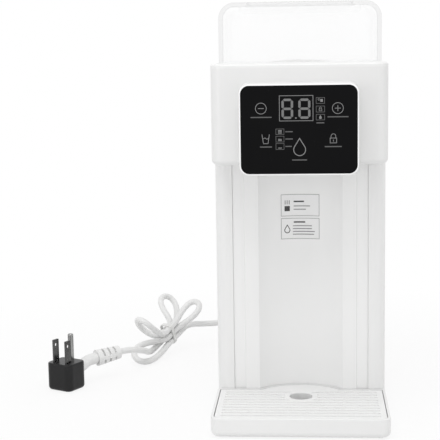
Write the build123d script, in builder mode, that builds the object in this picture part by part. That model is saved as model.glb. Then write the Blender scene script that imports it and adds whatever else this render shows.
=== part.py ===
from build123d import *
import math
import os

# A countertop hot water dispenser: a lift-off water tank behind a narrow column,
# a head with a touch panel over the cup space, and a drip tray in front.
# Millimetres, +Z up, the front looks along -Y, the origin is under the middle of the body.

# Overall sizes
body_width = 130.0
body_depth = 224.0
tray_reach = 77.0
column_depth = 40.0
head_overhang = 30.5
nose_reach = 20.0
head_bottom = 193.0
head_top = 267.0
tank_top = 314.0
deck_top = 40.0
wall = 2.5
edge_radius = 9.0
rear_radius = 14.0
fit_gap = 0.3
running_gap = 0.05
cut_over = 1.0

# Base plate, feet and the screws that close it
foot_height = 2.5
foot_radius = 7.0
foot_seat = 1.5
foot_side_inset = 17.0
foot_end_inset = 25.0
base_thickness = 4.0
tongue_inset = 23.0
tongue_width = 12.0
tongue_length = 13.0
tongue_thickness = 2.6
boss_radius = 4.0
boss_inset = 11.0
column_boss_height = 20.0
column_boss_setback = 14.0
housing_boss_setback = 20.0
screw_radius = 1.45
screw_length = 10.0
screw_head_radius = 3.0
screw_head_height = 2.0
board_screw_length = 5.0
head_screw_share = 0.37
head_screw_setback = 5.5

# Rear housing under the tank
vent_count = 6
vent_width = 2.2
vent_height = 14.0
vent_pitch = 6.0
vent_inset = 35.0

# Column shell and its front panel with the cup scoop
seam_inset = 13.25
seam_gap = 0.12
ridge_inset = 22.5
ridge_step = 0.8
scoop_inset = 33.0
scoop_depth = 14.6
flange_width = 7.5
flange_thickness = 2.0
flange_lap = 3.5
hose_window_inset = 7.0
hose_window_margin = 16.5
hose_window_height = 24.0

# Head shell and its top cover
cover_thickness = 3.0
cover_edge = 1.6
head_bottom_radius = 4.0
riser_window_width = 26.0
riser_window_depth = 30.0
wire_window_width = 44.0
wire_window_height = 30.0
head_boss_drop = 18.0
head_boss_inset = 5.5
head_boss_front_setback = 12.0
head_boss_rear_setback = 9.0
grip_width = 52.0
grip_rise = 1.7
grip_depth = 7.0

# Nose with the touch panel, its boards and keys
glass_width = 83.3
glass_height = 63.0
glass_bottom = 189.0
glass_thickness = 2.2
glass_radius = 6.0
glass_sink = 0.2
glass_gap = 0.15
rim_width = 1.1
rim_round = 0.7
nose_flare = 0.6
nose_root_rise = 1.2
ledge_width = 3.0
display_board_thickness = 1.6
display_board_gap = 0.8
display_width_share = 0.36
display_height_share = 0.317
display_depth = 7.0
display_rise_share = 0.23
key_radius = 3.5
key_reach_share = 0.335
key_upper_share = 0.206
key_lower_share = 0.08
key_middle_share = 0.19
nose_post_radius = 3.0
nose_post_inset = 6.5

# Power board on the rear wall of the head
board_side_inset = 15.0
board_height = 48.0
board_thickness = 1.6
board_bottom = 207.0
board_standoff = 4.0
board_post_radius = 3.5
board_post_inset = 5.0
transformer_width = 24.0
transformer_height = 22.0
transformer_depth = 18.0
relay_width = 20.0
relay_height = 16.0
relay_depth = 15.0
capacitor_radius = 5.5
capacitor_length = 16.0
component_gap = 4.0

# Heater in the column
heater_inset = 18.0
heater_radius = 12.5
heater_bottom = 62.0
heater_length = 92.0
heater_wall = 1.2
cap_radius = 14.0
cap_height = 10.0
nozzle_radius = 4.0
nozzle_length = 9.0
nozzle_bore = 2.6
clamp_wall = 1.4
clamp_height = 8.0
clamp_inset = 14.0
clamp_foot_width = 14.0
cutoff_radius = 3.8
cutoff_height = 5.0
sensor_radius = 2.5
sensor_height = 7.0
cap_part_offset = 10.0

# Pump under the deck
pump_depth_share = 0.533
pump_axis_z = 21.5
pump_front_share = 0.246
chamber_radius = 14.0
chamber_length = 15.0
chamber_wall = 2.2
motor_radius = 12.0
motor_end_gap = 1.5
impeller_radius = 10.5
impeller_thickness = 2.0
vane_count = 6
vane_height = 5.0
vane_thickness = 1.4
hub_radius = 3.5
shaft_radius = 1.5
shaft_length = 14.0
cradle_margin = 2.5
cradle_side = 1.5

# Hoses and spout
hose_wall = 1.8
hose_lap = 7.0
hose_bend = 11.0
pressure_turn_share = 0.366
outlet_crest = 222.0
spout_setback = 20.0
spout_radius = 6.0
spout_bore = 3.4
spout_drop = 5.5
spout_rise = 12.0
spout_flange_radius = 7.6
spout_flange = 2.0
spout_seal_radius = 7.2
spout_seal_height = 2.0

# Tank coupling in the deck
valve_side_share = 0.215
coupling_bore = 12.5
coupling_wall = 2.5
coupling_floor = 14.0
coupling_flange_radius = 19.0
coupling_flange = 2.0
coupling_nozzle_share = 0.4
push_pin_radius = 2.5
ring_height = 2.4
ring_drop = 3.0

# Water tank with its valve
tank_inset = 0.5
tank_gap = 1.0
tank_wall = 3.0
tank_top_radius = 13.0
boss_outer = 11.0
boss_inner = 8.5
boss_drop = 15.0
valve_hole = 6.0
valve_travel = 3.0
plunger_radius = 8.0
plunger_thickness = 2.0
seal_thickness = 1.2
stem_radius = 2.0
collar_radius = 4.5
collar_thickness = 1.5
collar_rise = 4.5
guide_thickness = 2.5
guide_rise = 11.0
guide_hub = 3.6
guide_rim = 1.2
guide_spoke = 1.8
spring_wire = 0.35
spring_radius = 3.1
spring_turns = 4

# Filling lid of the tank
lid_side_inset = 23.0
lid_length = 58.0
lid_thickness = 2.5
lid_gap = 0.4
lid_frame_width = 6.0
lid_frame_depth = 8.0
lid_ledge = 3.0
barrel_radius = 1.9
pin_radius = 0.8
pin_hold = 4.0
gasket_width = 2.0
gasket_thickness = 1.8
notch_radius = 8.0
notch_depth = 4.0

# Drip tray and its ribbed plate
tray_inset = 0.1
tray_height = 14.7
tray_clear = 0.5
tray_wall = 2.0
tray_floor = 2.0
tray_ledge = 2.2
tray_corner = 7.0
tray_bottom_radius = 4.5
tray_top_edge = 0.8
tray_back_gap = 0.5
plate_thickness = 2.8
plate_side_gap = 0.7
plate_front_gap = 0.3
plate_sink = 0.15
drain_radius = 8.8
drain_ring = 4.0
collar_wall = 1.4
collar_drop = 2.6
groove_count = 10
groove_pitch = 6.6
groove_width = 2.2
groove_depth = 1.0
groove_margin = 4.0
groove_start = 6.0
pad_radius = 5.0
pad_inset = 16.0

# Mains cord: gland, free lead, tied hank, tail and three-pin plug
cord_radius = 2.7
gland_inset = 25.0
gland_z = 24.0
gland_flange_radius = 8.0
gland_flange = 2.0
gland_neck_radius = 6.0
gland_length = 20.0
gland_tip_radius = 4.2
terminal_width = 20.0
terminal_shift = 4.0
terminal_depth = 14.0
terminal_height = 30.0
terminal_offset = 16.0
strand_gap = 0.7
tie_half_run = 7.2
lead_last_run = 13.0
tail_first_run = 12.5
tail_last_run = 9.1
arc_share = 0.45
samples_per_radius = 3
near_turn_share = 1.5
probe_share = 0.0005
plug_side = 155.2
plug_forward = 119.4
plug_yaw = -28.0
plug_width = 25.0
plug_depth = 23.0
plug_height = 23.0
plug_corner = 5.5
plug_bottom_edge = 3.0
plug_top_edge = 1.2
blade_spacing = 12.7
blade_width = 6.4
blade_thickness = 1.5
blade_length = 19.0
blade_hole = 1.6
blade_hole_drop = 4.5
earth_offset = 11.9
earth_radius = 2.4
earth_length = 22.0
earth_round = 1.2
blade_round = 0.6
plug_pin_shift = 1.0
neck_reach = 8.0
neck_bend = 14.0
neck_drop = 4.0
relief_radius = 7.0
relief_tip_radius = 5.6
relief_length = 21.2
relief_slits = 3
relief_slit_width = 1.8
relief_slit_depth = 1.8
relief_web = 3.2
neck_radius = 5.0
tie_width = 3.2
tie_thickness = 0.9
tie_gap = 0.05

# Planes that follow from them
half_width = body_width / 2
tray_front = -body_depth / 2
rear_face = body_depth / 2
front_face = tray_front + tray_reach
column_back = front_face + column_depth
head_front = front_face - head_overhang
nose_front = head_front - nose_reach
base_top = foot_height + base_thickness
seam_half = half_width - seam_inset
ridge_half = half_width - ridge_inset
scoop_half = half_width - scoop_inset
scoop_radius = (scoop_half**2 + scoop_depth**2) / (2 * scoop_depth)
scoop_center = front_face + scoop_depth - scoop_radius
heater_x = heater_inset - half_width
gland_x = gland_inset - half_width
lid_width = body_width - 2 * lid_side_inset
board_width = body_width - 2 * board_side_inset
display_width = glass_width * display_width_share
display_height = glass_height * display_height_share
display_rise = glass_height * display_rise_share
pump_y = column_back + pump_depth_share * (rear_face - column_back)
pump_front_x = half_width * pump_front_share
pump_middle_x = pump_front_x + chamber_length / 2
valve_x = -half_width * valve_side_share
valve_y = pump_y
coupling_outer = coupling_bore + coupling_wall
inlet_room = pump_front_x - valve_x - coupling_outer
coupling_nozzle = inlet_room * coupling_nozzle_share
pump_nozzle = inlet_room - coupling_nozzle


def finish(piece, name):
    piece.part.label = name
    export_step(piece.part, f"parts/{name}.step")


def plane_at_y(y, x=0.0, z=0.0):
    # Looks along -Y; its own x is X and its own y is Z
    return Plane(origin=(x, y, z), x_dir=(1, 0, 0), z_dir=(0, -1, 0))


def plane_at_x(x, y=0.0, z=0.0):
    # Looks along +X; its own x is Y and its own y is Z
    return Plane(origin=(x, y, z), x_dir=(0, 1, 0), z_dir=(1, 0, 0))


def screws(places, direction, length=screw_length):
    # Pan-head screws, each as one turned solid with its head's outer face at the place
    with BuildPart() as group:
        for place in places:
            seat = Plane(origin=place, z_dir=direction)
            with BuildSketch(seat):
                Circle(screw_head_radius)
            extrude(amount=screw_head_height)
            with BuildSketch(seat.offset(screw_head_height)):
                Circle(screw_radius)
            extrude(amount=length)
    return group


def arc_pair(start, start_way, end, end_way):
    # Two arcs that meet with one tangent, between two points with given directions
    chord = end - start
    ways = start_way + end_way
    spread = 2 * (1 - start_way.dot(end_way))
    along = chord.dot(ways)
    reach = (math.sqrt(along**2 + spread * chord.dot(chord)) - along) / spread
    middle = (start + end + (start_way - end_way) * reach) / 2
    first = TangentArc(start, middle, tangent=start_way)
    second = TangentArc(middle, end, tangent=first % 1)
    return [first, second]


os.makedirs("parts", exist_ok=True)

# Base plate: closes the body from below, carries the feet and guides the tray's tongues
foot_places = [
    (side * (half_width - foot_side_inset), y)
    for side in (-1, 1)
    for y in (front_face + foot_end_inset, rear_face - foot_end_inset)
]
column_boss_places = [
    (side * (half_width - boss_inset), front_face + column_boss_setback) for side in (-1, 1)
]
housing_boss_places = [
    (side * (half_width - boss_inset), y)
    for side in (-1, 1)
    for y in (column_back + housing_boss_setback, rear_face - rear_radius)
]
tongue_places = [(side * (half_width - tongue_inset), front_face) for side in (-1, 1)]
head_screw_places = [
    (side * half_width * head_screw_share, column_back - head_screw_setback) for side in (-1, 1)
]
base_screw_places = column_boss_places + housing_boss_places

with BuildPart() as base_plate:
    with BuildSketch(Plane.XY.offset(foot_height)) as outline:
        with Locations((0, (front_face + rear_face) / 2)):
            Rectangle(body_width, rear_face - front_face)
        fillet(outline.vertices().group_by(Axis.Y)[0], edge_radius)
        fillet(outline.vertices().group_by(Axis.Y)[-1], rear_radius)
    extrude(amount=base_thickness)
    with BuildSketch(Plane.XY.offset(foot_height)):
        with Locations((0, scoop_center)):
            Circle(scoop_radius)
    extrude(amount=base_thickness, mode=Mode.SUBTRACT)
    with BuildSketch(Plane.XY.offset(foot_height)):
        with Locations(*foot_places):
            Circle(foot_radius + running_gap)
    extrude(amount=foot_seat, mode=Mode.SUBTRACT)
    with BuildSketch(Plane.XY.offset(foot_height)):
        with Locations(*tongue_places):
            Rectangle(
                tongue_width + 2 * fit_gap,
                tongue_length + fit_gap,
                align=(Align.CENTER, Align.MIN),
            )
    extrude(amount=base_thickness, mode=Mode.SUBTRACT)
    with BuildSketch(Plane.XY.offset(foot_height)):
        with Locations(*base_screw_places):
            Circle(screw_head_radius + running_gap)
    extrude(amount=screw_head_height, mode=Mode.SUBTRACT)
    with BuildSketch(Plane.XY.offset(foot_height)):
        with Locations(*base_screw_places):
            Circle(screw_radius + running_gap)
    extrude(amount=base_thickness, mode=Mode.SUBTRACT)
finish(base_plate, "base_plate")

with BuildPart() as rubber_feet:
    with BuildSketch():
        with Locations(*foot_places):
            Circle(foot_radius)
    extrude(amount=foot_height + foot_seat)
finish(rubber_feet, "rubber_feet")

base_screws = screws([(x, y, foot_height) for x, y in base_screw_places], (0, 0, 1))
finish(base_screws, "base_screws")

# Rear housing: the plinth under the tank, open below and towards the column
deck_bottom = deck_top - wall

with BuildPart() as rear_housing:
    with BuildSketch(Plane.XY.offset(base_top)) as outline:
        with Locations((0, (column_back + rear_face) / 2)):
            Rectangle(body_width, rear_face - column_back)
        fillet(outline.vertices().group_by(Axis.Y)[-1], rear_radius)
    extrude(amount=deck_top - base_top)
    with BuildSketch(Plane.XY.offset(base_top)) as hollow:
        with Locations((0, column_back)):
            Rectangle(
                body_width - 2 * wall,
                rear_face - wall - column_back,
                align=(Align.CENTER, Align.MIN),
            )
        fillet(hollow.vertices().group_by(Axis.Y)[-1], rear_radius - wall)
    extrude(amount=deck_bottom - base_top, mode=Mode.SUBTRACT)
    with BuildSketch(Plane.XY.offset(base_top)):
        with Locations(*housing_boss_places):
            Circle(boss_radius)
    extrude(amount=deck_bottom - base_top)
    with BuildSketch(Plane.XY.offset(base_top)):
        with Locations(*housing_boss_places):
            Circle(screw_radius + running_gap)
    extrude(amount=screw_length, mode=Mode.SUBTRACT)
    with BuildSketch(Plane.XY.offset(deck_bottom)):
        with Locations((valve_x, valve_y)):
            Circle(coupling_bore)
    extrude(amount=wall, mode=Mode.SUBTRACT)
    with BuildSketch(plane_at_y(rear_face)):
        with Locations((gland_x, gland_z)):
            Circle(gland_neck_radius + running_gap)
    extrude(amount=wall, mode=Mode.SUBTRACT)
    with BuildSketch(plane_at_y(rear_face)):
        with Locations((half_width - vent_inset, (base_top + deck_bottom) / 2)):
            with GridLocations(vent_pitch, 0, vent_count, 1):
                SlotOverall(vent_height, vent_width, rotation=90)
    extrude(amount=wall, mode=Mode.SUBTRACT)
finish(rear_housing, "rear_housing")

# Column shell: sides and back in one piece, with lips that turn in at the front
with BuildPart() as column_shell:
    with BuildSketch(Plane.XY.offset(base_top)) as outline:
        with Locations((0, (front_face + column_back) / 2)):
            Rectangle(body_width, column_depth)
        fillet(outline.vertices().group_by(Axis.Y)[0], edge_radius)
    extrude(amount=head_bottom - base_top)
    with BuildSketch(Plane.XY.offset(base_top)) as hollow:
        with Locations((0, (front_face + column_back) / 2)):
            Rectangle(body_width - 2 * wall, column_depth - 2 * wall)
        fillet(hollow.vertices().group_by(Axis.Y)[0], edge_radius - wall)
    extrude(amount=head_bottom - base_top, mode=Mode.SUBTRACT)
    with BuildSketch(Plane.XY.offset(base_top)):
        with Locations((0, front_face)):
            Rectangle(2 * seam_half, wall, align=(Align.CENTER, Align.MIN))
    extrude(amount=head_bottom - base_top, mode=Mode.SUBTRACT)
    with BuildSketch(plane_at_y(column_back)):
        with Locations((hose_window_inset - half_width, base_top + wall)):
            Rectangle(
                half_width - hose_window_inset + pump_middle_x + hose_window_margin,
                hose_window_height,
                align=(Align.MIN, Align.MIN),
            )
    extrude(amount=wall, mode=Mode.SUBTRACT)
    with BuildSketch(Plane.XY.offset(base_top)):
        with Locations(*column_boss_places):
            Circle(boss_radius)
        for x, y in column_boss_places:
            with Locations((x, y)):
                Rectangle(
                    boss_inset - wall,
                    boss_radius,
                    align=(Align.MIN if x > 0 else Align.MAX, Align.CENTER),
                )
    extrude(amount=column_boss_height)
    with BuildSketch(Plane.XY.offset(base_top)):
        with Locations(*column_boss_places):
            Circle(screw_radius + running_gap)
    extrude(amount=screw_length, mode=Mode.SUBTRACT)
    with BuildSketch(Plane.XY.offset(head_bottom)):
        with Locations(*head_screw_places):
            Circle(boss_radius)
    extrude(amount=-column_boss_height)
    with BuildSketch(Plane.XY.offset(head_bottom)):
        with Locations(*head_screw_places):
            Circle(screw_radius + running_gap)
    extrude(amount=-screw_length, mode=Mode.SUBTRACT)
finish(column_shell, "column_shell")

# Front panel: the insert between the two seams, scooped out so that a cup can stand back
panel_half = seam_half - seam_gap
panel_back = front_face + wall
panel_edge = front_face + ridge_step
scoop_back_half = math.sqrt((scoop_radius + wall) ** 2 - (panel_back - scoop_center) ** 2)

with BuildPart() as front_panel:
    with BuildSketch(Plane.XY.offset(base_top)):
        with BuildLine():
            Polyline(
                (-scoop_half, front_face),
                (-ridge_half, front_face),
                (-ridge_half - ridge_step, panel_edge),
                (-panel_half, panel_edge),
                (-panel_half, panel_back),
                (-scoop_back_half, panel_back),
            )
            ThreePointArc(
                (-scoop_back_half, panel_back),
                (0, front_face + scoop_depth + wall),
                (scoop_back_half, panel_back),
            )
            Polyline(
                (scoop_back_half, panel_back),
                (panel_half, panel_back),
                (panel_half, panel_edge),
                (ridge_half + ridge_step, panel_edge),
                (ridge_half, front_face),
                (scoop_half, front_face),
            )
            ThreePointArc(
                (scoop_half, front_face), (0, front_face + scoop_depth), (-scoop_half, front_face)
            )
        make_face()
        for side in (-1, 1):
            with Locations((side * (panel_half - flange_lap), panel_back)):
                Rectangle(
                    flange_width,
                    flange_thickness,
                    align=(Align.MIN if side > 0 else Align.MAX, Align.MIN),
                )
    extrude(amount=head_bottom - base_top)
finish(front_panel, "front_panel")

# Head shell: an open box over the column, reaching out over the cup space
cover_bottom = head_top - cover_thickness
head_depth = column_back - head_front
spout_y = front_face - spout_setback
head_floor = head_bottom + wall
heater_y = (front_face + column_back) / 2
head_boss_places = [
    (side * (half_width - head_boss_inset), y)
    for side in (-1, 1)
    for y in (head_front + head_boss_front_setback, column_back - head_boss_rear_setback)
]
board_post_places = [
    (x_side * (board_width / 2 - board_post_inset), z)
    for x_side in (-1, 1)
    for z in (board_bottom + board_post_inset, board_bottom + board_height - board_post_inset)
]
head_inner_back = column_back - wall
glass_middle = glass_bottom + glass_height / 2
nose_width = glass_width + 2 * rim_width
nose_height = glass_height + 2 * rim_width
nose_radius = glass_radius + rim_width
well_width = glass_width - 2 * ledge_width
well_height = glass_height - 2 * ledge_width
well_radius = glass_radius - ledge_width / 2
well_floor = head_front - wall
glass_face = nose_front + glass_sink
glass_back = glass_face + glass_thickness
display_board_front = glass_back + display_depth
display_board_back = display_board_front + display_board_thickness
display_board_width = well_width - 2 * display_board_gap
display_board_height = well_height - 2 * display_board_gap
nose_post_x = display_board_width / 2 - nose_post_inset
nose_post_z = display_board_height / 2 - nose_post_inset
nose_post_places = [
    (x_side * nose_post_x, z_side * nose_post_z) for x_side in (-1, 1) for z_side in (-1, 1)
]

with BuildPart() as head_shell:
    with BuildSketch(Plane.XY.offset(head_bottom)) as outline:
        with Locations((0, (head_front + column_back) / 2)):
            Rectangle(body_width, head_depth)
        fillet(outline.vertices().group_by(Axis.Y)[0], edge_radius)
    extrude(amount=cover_bottom - head_bottom)
    lower_edges = head_shell.faces().sort_by(Axis.Z)[0].edges()
    fillet(lower_edges.sort_by(Axis.Y)[:-1], head_bottom_radius)
    with BuildSketch(Plane.XY.offset(head_floor)) as hollow:
        with Locations((0, (head_front + column_back) / 2)):
            Rectangle(body_width - 2 * wall, head_depth - 2 * wall)
        fillet(hollow.vertices().group_by(Axis.Y)[0], edge_radius - wall)
    extrude(amount=cover_bottom - head_floor, mode=Mode.SUBTRACT)
    with BuildSketch(Plane.XY.offset(head_bottom)):
        with Locations((heater_x, heater_y), (-heater_x, heater_y)):
            Rectangle(riser_window_width, riser_window_depth)
        with Locations((0, spout_y)):
            Circle(spout_radius + running_gap)
        with Locations(*head_screw_places):
            Circle(screw_radius + running_gap)
    extrude(amount=wall, mode=Mode.SUBTRACT)
    with BuildSketch(plane_at_y(head_front + wall, 0, glass_middle)):
        Rectangle(wire_window_width, wire_window_height)
        with Locations(*nose_post_places):
            Circle(screw_radius + running_gap)
    extrude(amount=wall, mode=Mode.SUBTRACT)
    with BuildSketch(Plane.XY.offset(cover_bottom - head_boss_drop)):
        with Locations(*head_boss_places):
            Circle(boss_radius)
        with Locations((0, (head_front + column_back) / 2)):
            Rectangle(body_width - wall, head_depth - wall, mode=Mode.INTERSECT)
    extrude(amount=head_boss_drop)
    with BuildSketch(Plane.XY.offset(cover_bottom - screw_length)):
        with Locations(*head_boss_places):
            Circle(screw_radius + running_gap)
    extrude(amount=screw_length, mode=Mode.SUBTRACT)
    with BuildSketch(plane_at_y(head_inner_back)):
        with Locations(*board_post_places):
            Circle(board_post_radius)
            Circle(screw_radius + running_gap, mode=Mode.SUBTRACT)
    extrude(amount=board_standoff)
finish(head_shell, "head_shell")

head_screws = screws(
    [(x, y, head_floor + screw_head_height) for x, y in head_screw_places], (0, 0, -1)
)
finish(head_screws, "head_screws")

# Top cover with the low arched grip in front of the tank
with BuildPart() as top_cover:
    with BuildSketch(Plane.XY.offset(cover_bottom)) as outline:
        with Locations((0, (head_front + column_back) / 2)):
            Rectangle(body_width, head_depth)
        fillet(outline.vertices().group_by(Axis.Y)[0], edge_radius)
    extrude(amount=cover_thickness)
    upper_edges = top_cover.faces().sort_by(Axis.Z)[-1].edges()
    fillet(upper_edges.sort_by(Axis.Y)[:-1], cover_edge)
    with BuildSketch(plane_at_y(column_back)):
        with BuildLine():
            grip_arc = ThreePointArc(
                (-grip_width / 2, head_top), (0, head_top + grip_rise), (grip_width / 2, head_top)
            )
            Line(grip_arc @ 1, grip_arc @ 0)
        make_face()
    extrude(amount=grip_depth)
    with BuildSketch(Plane.XY.offset(cover_bottom)):
        with Locations(*head_boss_places):
            Circle(screw_radius + running_gap)
    extrude(amount=cover_thickness, mode=Mode.SUBTRACT)
    with BuildSketch(Plane.XY.offset(head_top - screw_head_height)):
        with Locations(*head_boss_places):
            Circle(screw_head_radius + running_gap)
    extrude(amount=screw_head_height + cut_over, mode=Mode.SUBTRACT)
finish(top_cover, "top_cover")

cover_screws = screws([(x, y, head_top) for x, y in head_boss_places], (0, 0, -1))
finish(cover_screws, "cover_screws")

# Nose: a box on the head's front, a little wider at its root, that holds the glass in a thin rim
with BuildPart() as nose_housing:
    with BuildSketch(plane_at_y(head_front, 0, glass_middle)):
        RectangleRounded(nose_width + 2 * nose_flare, nose_height + nose_root_rise, nose_radius)
    with BuildSketch(plane_at_y(nose_front, 0, glass_middle)):
        RectangleRounded(nose_width, nose_height, nose_radius)
    loft()
    fillet(nose_housing.faces().sort_by(Axis.Y)[0].edges(), rim_round)
    with BuildSketch(plane_at_y(glass_back, 0, glass_middle)):
        RectangleRounded(
            glass_width + 2 * glass_gap, glass_height + 2 * glass_gap, glass_radius + glass_gap
        )
    extrude(amount=glass_back - nose_front, mode=Mode.SUBTRACT)
    with BuildSketch(plane_at_y(well_floor, 0, glass_middle)):
        RectangleRounded(well_width, well_height, well_radius)
    extrude(amount=well_floor - glass_back, mode=Mode.SUBTRACT)
    with BuildSketch(plane_at_y(head_front, 0, glass_middle)):
        Rectangle(wire_window_width, wire_window_height)
    extrude(amount=wall, mode=Mode.SUBTRACT)
    with BuildSketch(plane_at_y(well_floor, 0, glass_middle)):
        with Locations(*nose_post_places):
            Circle(nose_post_radius)
    extrude(amount=well_floor - display_board_back)
    with BuildSketch(plane_at_y(head_front, 0, glass_middle)):
        with Locations(*nose_post_places):
            Circle(screw_radius + running_gap)
    extrude(amount=screw_length - wall, mode=Mode.SUBTRACT)
finish(nose_housing, "nose_housing")

nose_screws = screws(
    [
        (x, head_front + wall + screw_head_height, glass_middle + z)
        for x, z in nose_post_places
    ],
    (0, -1, 0),
)
finish(nose_screws, "nose_screws")

with BuildPart() as touch_panel:
    with BuildSketch(plane_at_y(glass_back, 0, glass_middle)):
        RectangleRounded(glass_width, glass_height, glass_radius)
    extrude(amount=glass_thickness)
finish(touch_panel, "touch_panel")

with BuildPart() as display_board:
    with BuildSketch(plane_at_y(display_board_back, 0, glass_middle)):
        RectangleRounded(
            display_board_width, display_board_height, well_radius - display_board_gap
        )
    extrude(amount=display_board_thickness)
finish(display_board, "display_board")

with BuildPart() as led_display:
    with BuildSketch(plane_at_y(display_board_front, 0, glass_middle + display_rise)):
        Rectangle(display_width, display_height)
    extrude(amount=display_depth)
finish(led_display, "led_display")

# Conductive pads under the touch keys, from the board to the glass
key_side = glass_width * key_reach_share
key_places = [
    (-key_side, glass_height * key_upper_share),
    (key_side, glass_height * key_upper_share),
    (-key_side, -glass_height * key_lower_share),
    (key_side, -glass_height * key_lower_share),
    (0, -glass_height * key_middle_share),
]

with BuildPart() as touch_pads:
    with BuildSketch(plane_at_y(display_board_front, 0, glass_middle)):
        with Locations(*key_places):
            Circle(key_radius)
    extrude(amount=display_depth)
finish(touch_pads, "touch_pads")

# Power board with its parts, on posts on the head's rear wall
board_back = head_inner_back - board_standoff
board_front = board_back - board_thickness
board_middle = board_bottom + board_height / 2

with BuildPart() as power_board:
    with BuildSketch(plane_at_y(board_back, 0, board_middle)):
        Rectangle(board_width, board_height)
    extrude(amount=board_thickness)
    with BuildSketch(plane_at_y(board_back)):
        with Locations(*board_post_places):
            Circle(screw_radius + running_gap)
    extrude(amount=board_thickness, mode=Mode.SUBTRACT)
finish(power_board, "power_board")

board_screws = screws(
    [(x, board_front - screw_head_height, z) for x, z in board_post_places],
    (0, 1, 0),
    board_screw_length,
)
finish(board_screws, "board_screws")

with BuildPart() as board_components:
    with BuildSketch(plane_at_y(board_front, 0, board_middle)):
        Rectangle(transformer_width, transformer_height)
    extrude(amount=transformer_depth)
    with BuildSketch(plane_at_y(board_front, 0, board_middle)):
        with Locations((transformer_width / 2 + component_gap, 0)):
            Rectangle(relay_width, relay_height, align=(Align.MIN, Align.CENTER))
    extrude(amount=relay_depth)
    with BuildSketch(plane_at_y(board_front, 0, board_middle)):
        with Locations((-transformer_width / 2 - component_gap - capacitor_radius, 0)):
            Circle(capacitor_radius)
    extrude(amount=capacitor_length)
finish(board_components, "board_components")

# Heater: a steel tube with a cap at each end, held to the column's back by two clamps
heater_top = heater_bottom + heater_length

with BuildPart() as heater_tube:
    with BuildSketch(Plane.XY.offset(heater_bottom)):
        with Locations((heater_x, heater_y)):
            Circle(heater_radius)
            Circle(heater_radius - heater_wall, mode=Mode.SUBTRACT)
    extrude(amount=heater_length)
finish(heater_tube, "heater_tube")

with BuildPart() as heater_caps:
    for face_z, way in ((heater_bottom, -1), (heater_top, 1)):
        with BuildSketch(Plane.XY.offset(face_z)):
            with Locations((heater_x, heater_y)):
                Circle(cap_radius)
        extrude(amount=way * cap_height)
        with BuildSketch(Plane.XY.offset(face_z + way * cap_height)):
            with Locations((heater_x, heater_y)):
                Circle(nozzle_radius)
        extrude(amount=way * nozzle_length)
        with BuildSketch(Plane.XY.offset(face_z)):
            with Locations((heater_x, heater_y)):
                Circle(nozzle_bore)
        extrude(amount=way * (cap_height + nozzle_length), mode=Mode.SUBTRACT)
finish(heater_caps, "heater_caps")

with BuildPart() as heater_clamps:
    for clamp_z in (heater_bottom + clamp_inset, heater_top - clamp_inset - clamp_height):
        with BuildSketch(Plane.XY.offset(clamp_z)):
            with Locations((heater_x, heater_y)):
                Circle(heater_radius + running_gap + clamp_wall)
                Rectangle(
                    clamp_foot_width,
                    head_inner_back - heater_y,
                    align=(Align.CENTER, Align.MIN),
                )
                Circle(heater_radius + running_gap, mode=Mode.SUBTRACT)
        extrude(amount=clamp_height)
finish(heater_clamps, "heater_clamps")

with BuildPart() as thermal_cutoff:
    with BuildSketch(Plane.XY.offset(heater_top + cap_height)):
        with Locations((heater_x + cap_part_offset, heater_y)):
            Circle(cutoff_radius)
    extrude(amount=cutoff_height)
finish(thermal_cutoff, "thermal_cutoff")

with BuildPart() as temperature_sensor:
    with BuildSketch(Plane.XY.offset(heater_top + cap_height)):
        with Locations((heater_x - cap_part_offset, heater_y)):
            Circle(sensor_radius)
    extrude(amount=sensor_height)
finish(temperature_sensor, "temperature_sensor")

# Pump: a round chamber with an axial inlet and a side outlet, and its motor behind it
chamber_end_x = pump_front_x + chamber_length
motor_length = half_width - wall - motor_end_gap - chamber_end_x
impeller_x = pump_front_x + chamber_wall + fit_gap

with BuildPart() as pump_housing:
    with BuildSketch(plane_at_x(pump_front_x, pump_y, pump_axis_z)):
        Circle(chamber_radius)
    extrude(amount=chamber_length)
    with BuildSketch(plane_at_x(pump_front_x, pump_y, pump_axis_z)):
        Circle(nozzle_radius)
    extrude(amount=-pump_nozzle)
    with BuildSketch(plane_at_y(pump_y, pump_middle_x, pump_axis_z)):
        Circle(nozzle_radius)
    extrude(amount=chamber_radius + nozzle_length)
    with BuildSketch(plane_at_x(pump_front_x + chamber_wall, pump_y, pump_axis_z)):
        Circle(chamber_radius - chamber_wall)
    extrude(amount=chamber_length - 2 * chamber_wall, mode=Mode.SUBTRACT)
    with BuildSketch(plane_at_x(pump_front_x - pump_nozzle, pump_y, pump_axis_z)):
        Circle(nozzle_bore)
    extrude(amount=pump_nozzle + chamber_wall, mode=Mode.SUBTRACT)
    with BuildSketch(plane_at_y(pump_y, pump_middle_x, pump_axis_z)):
        Circle(nozzle_bore)
    extrude(amount=chamber_radius + nozzle_length, mode=Mode.SUBTRACT)
    with BuildSketch(plane_at_x(pump_middle_x, pump_y, pump_axis_z)):
        Circle(shaft_radius + running_gap)
    extrude(amount=chamber_length, mode=Mode.SUBTRACT)
finish(pump_housing, "pump_housing")

with BuildPart() as pump_motor:
    with BuildSketch(plane_at_x(chamber_end_x, pump_y, pump_axis_z)):
        Circle(motor_radius)
        Circle(shaft_radius + running_gap, mode=Mode.SUBTRACT)
    extrude(amount=motor_length)
finish(pump_motor, "pump_motor")

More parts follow.
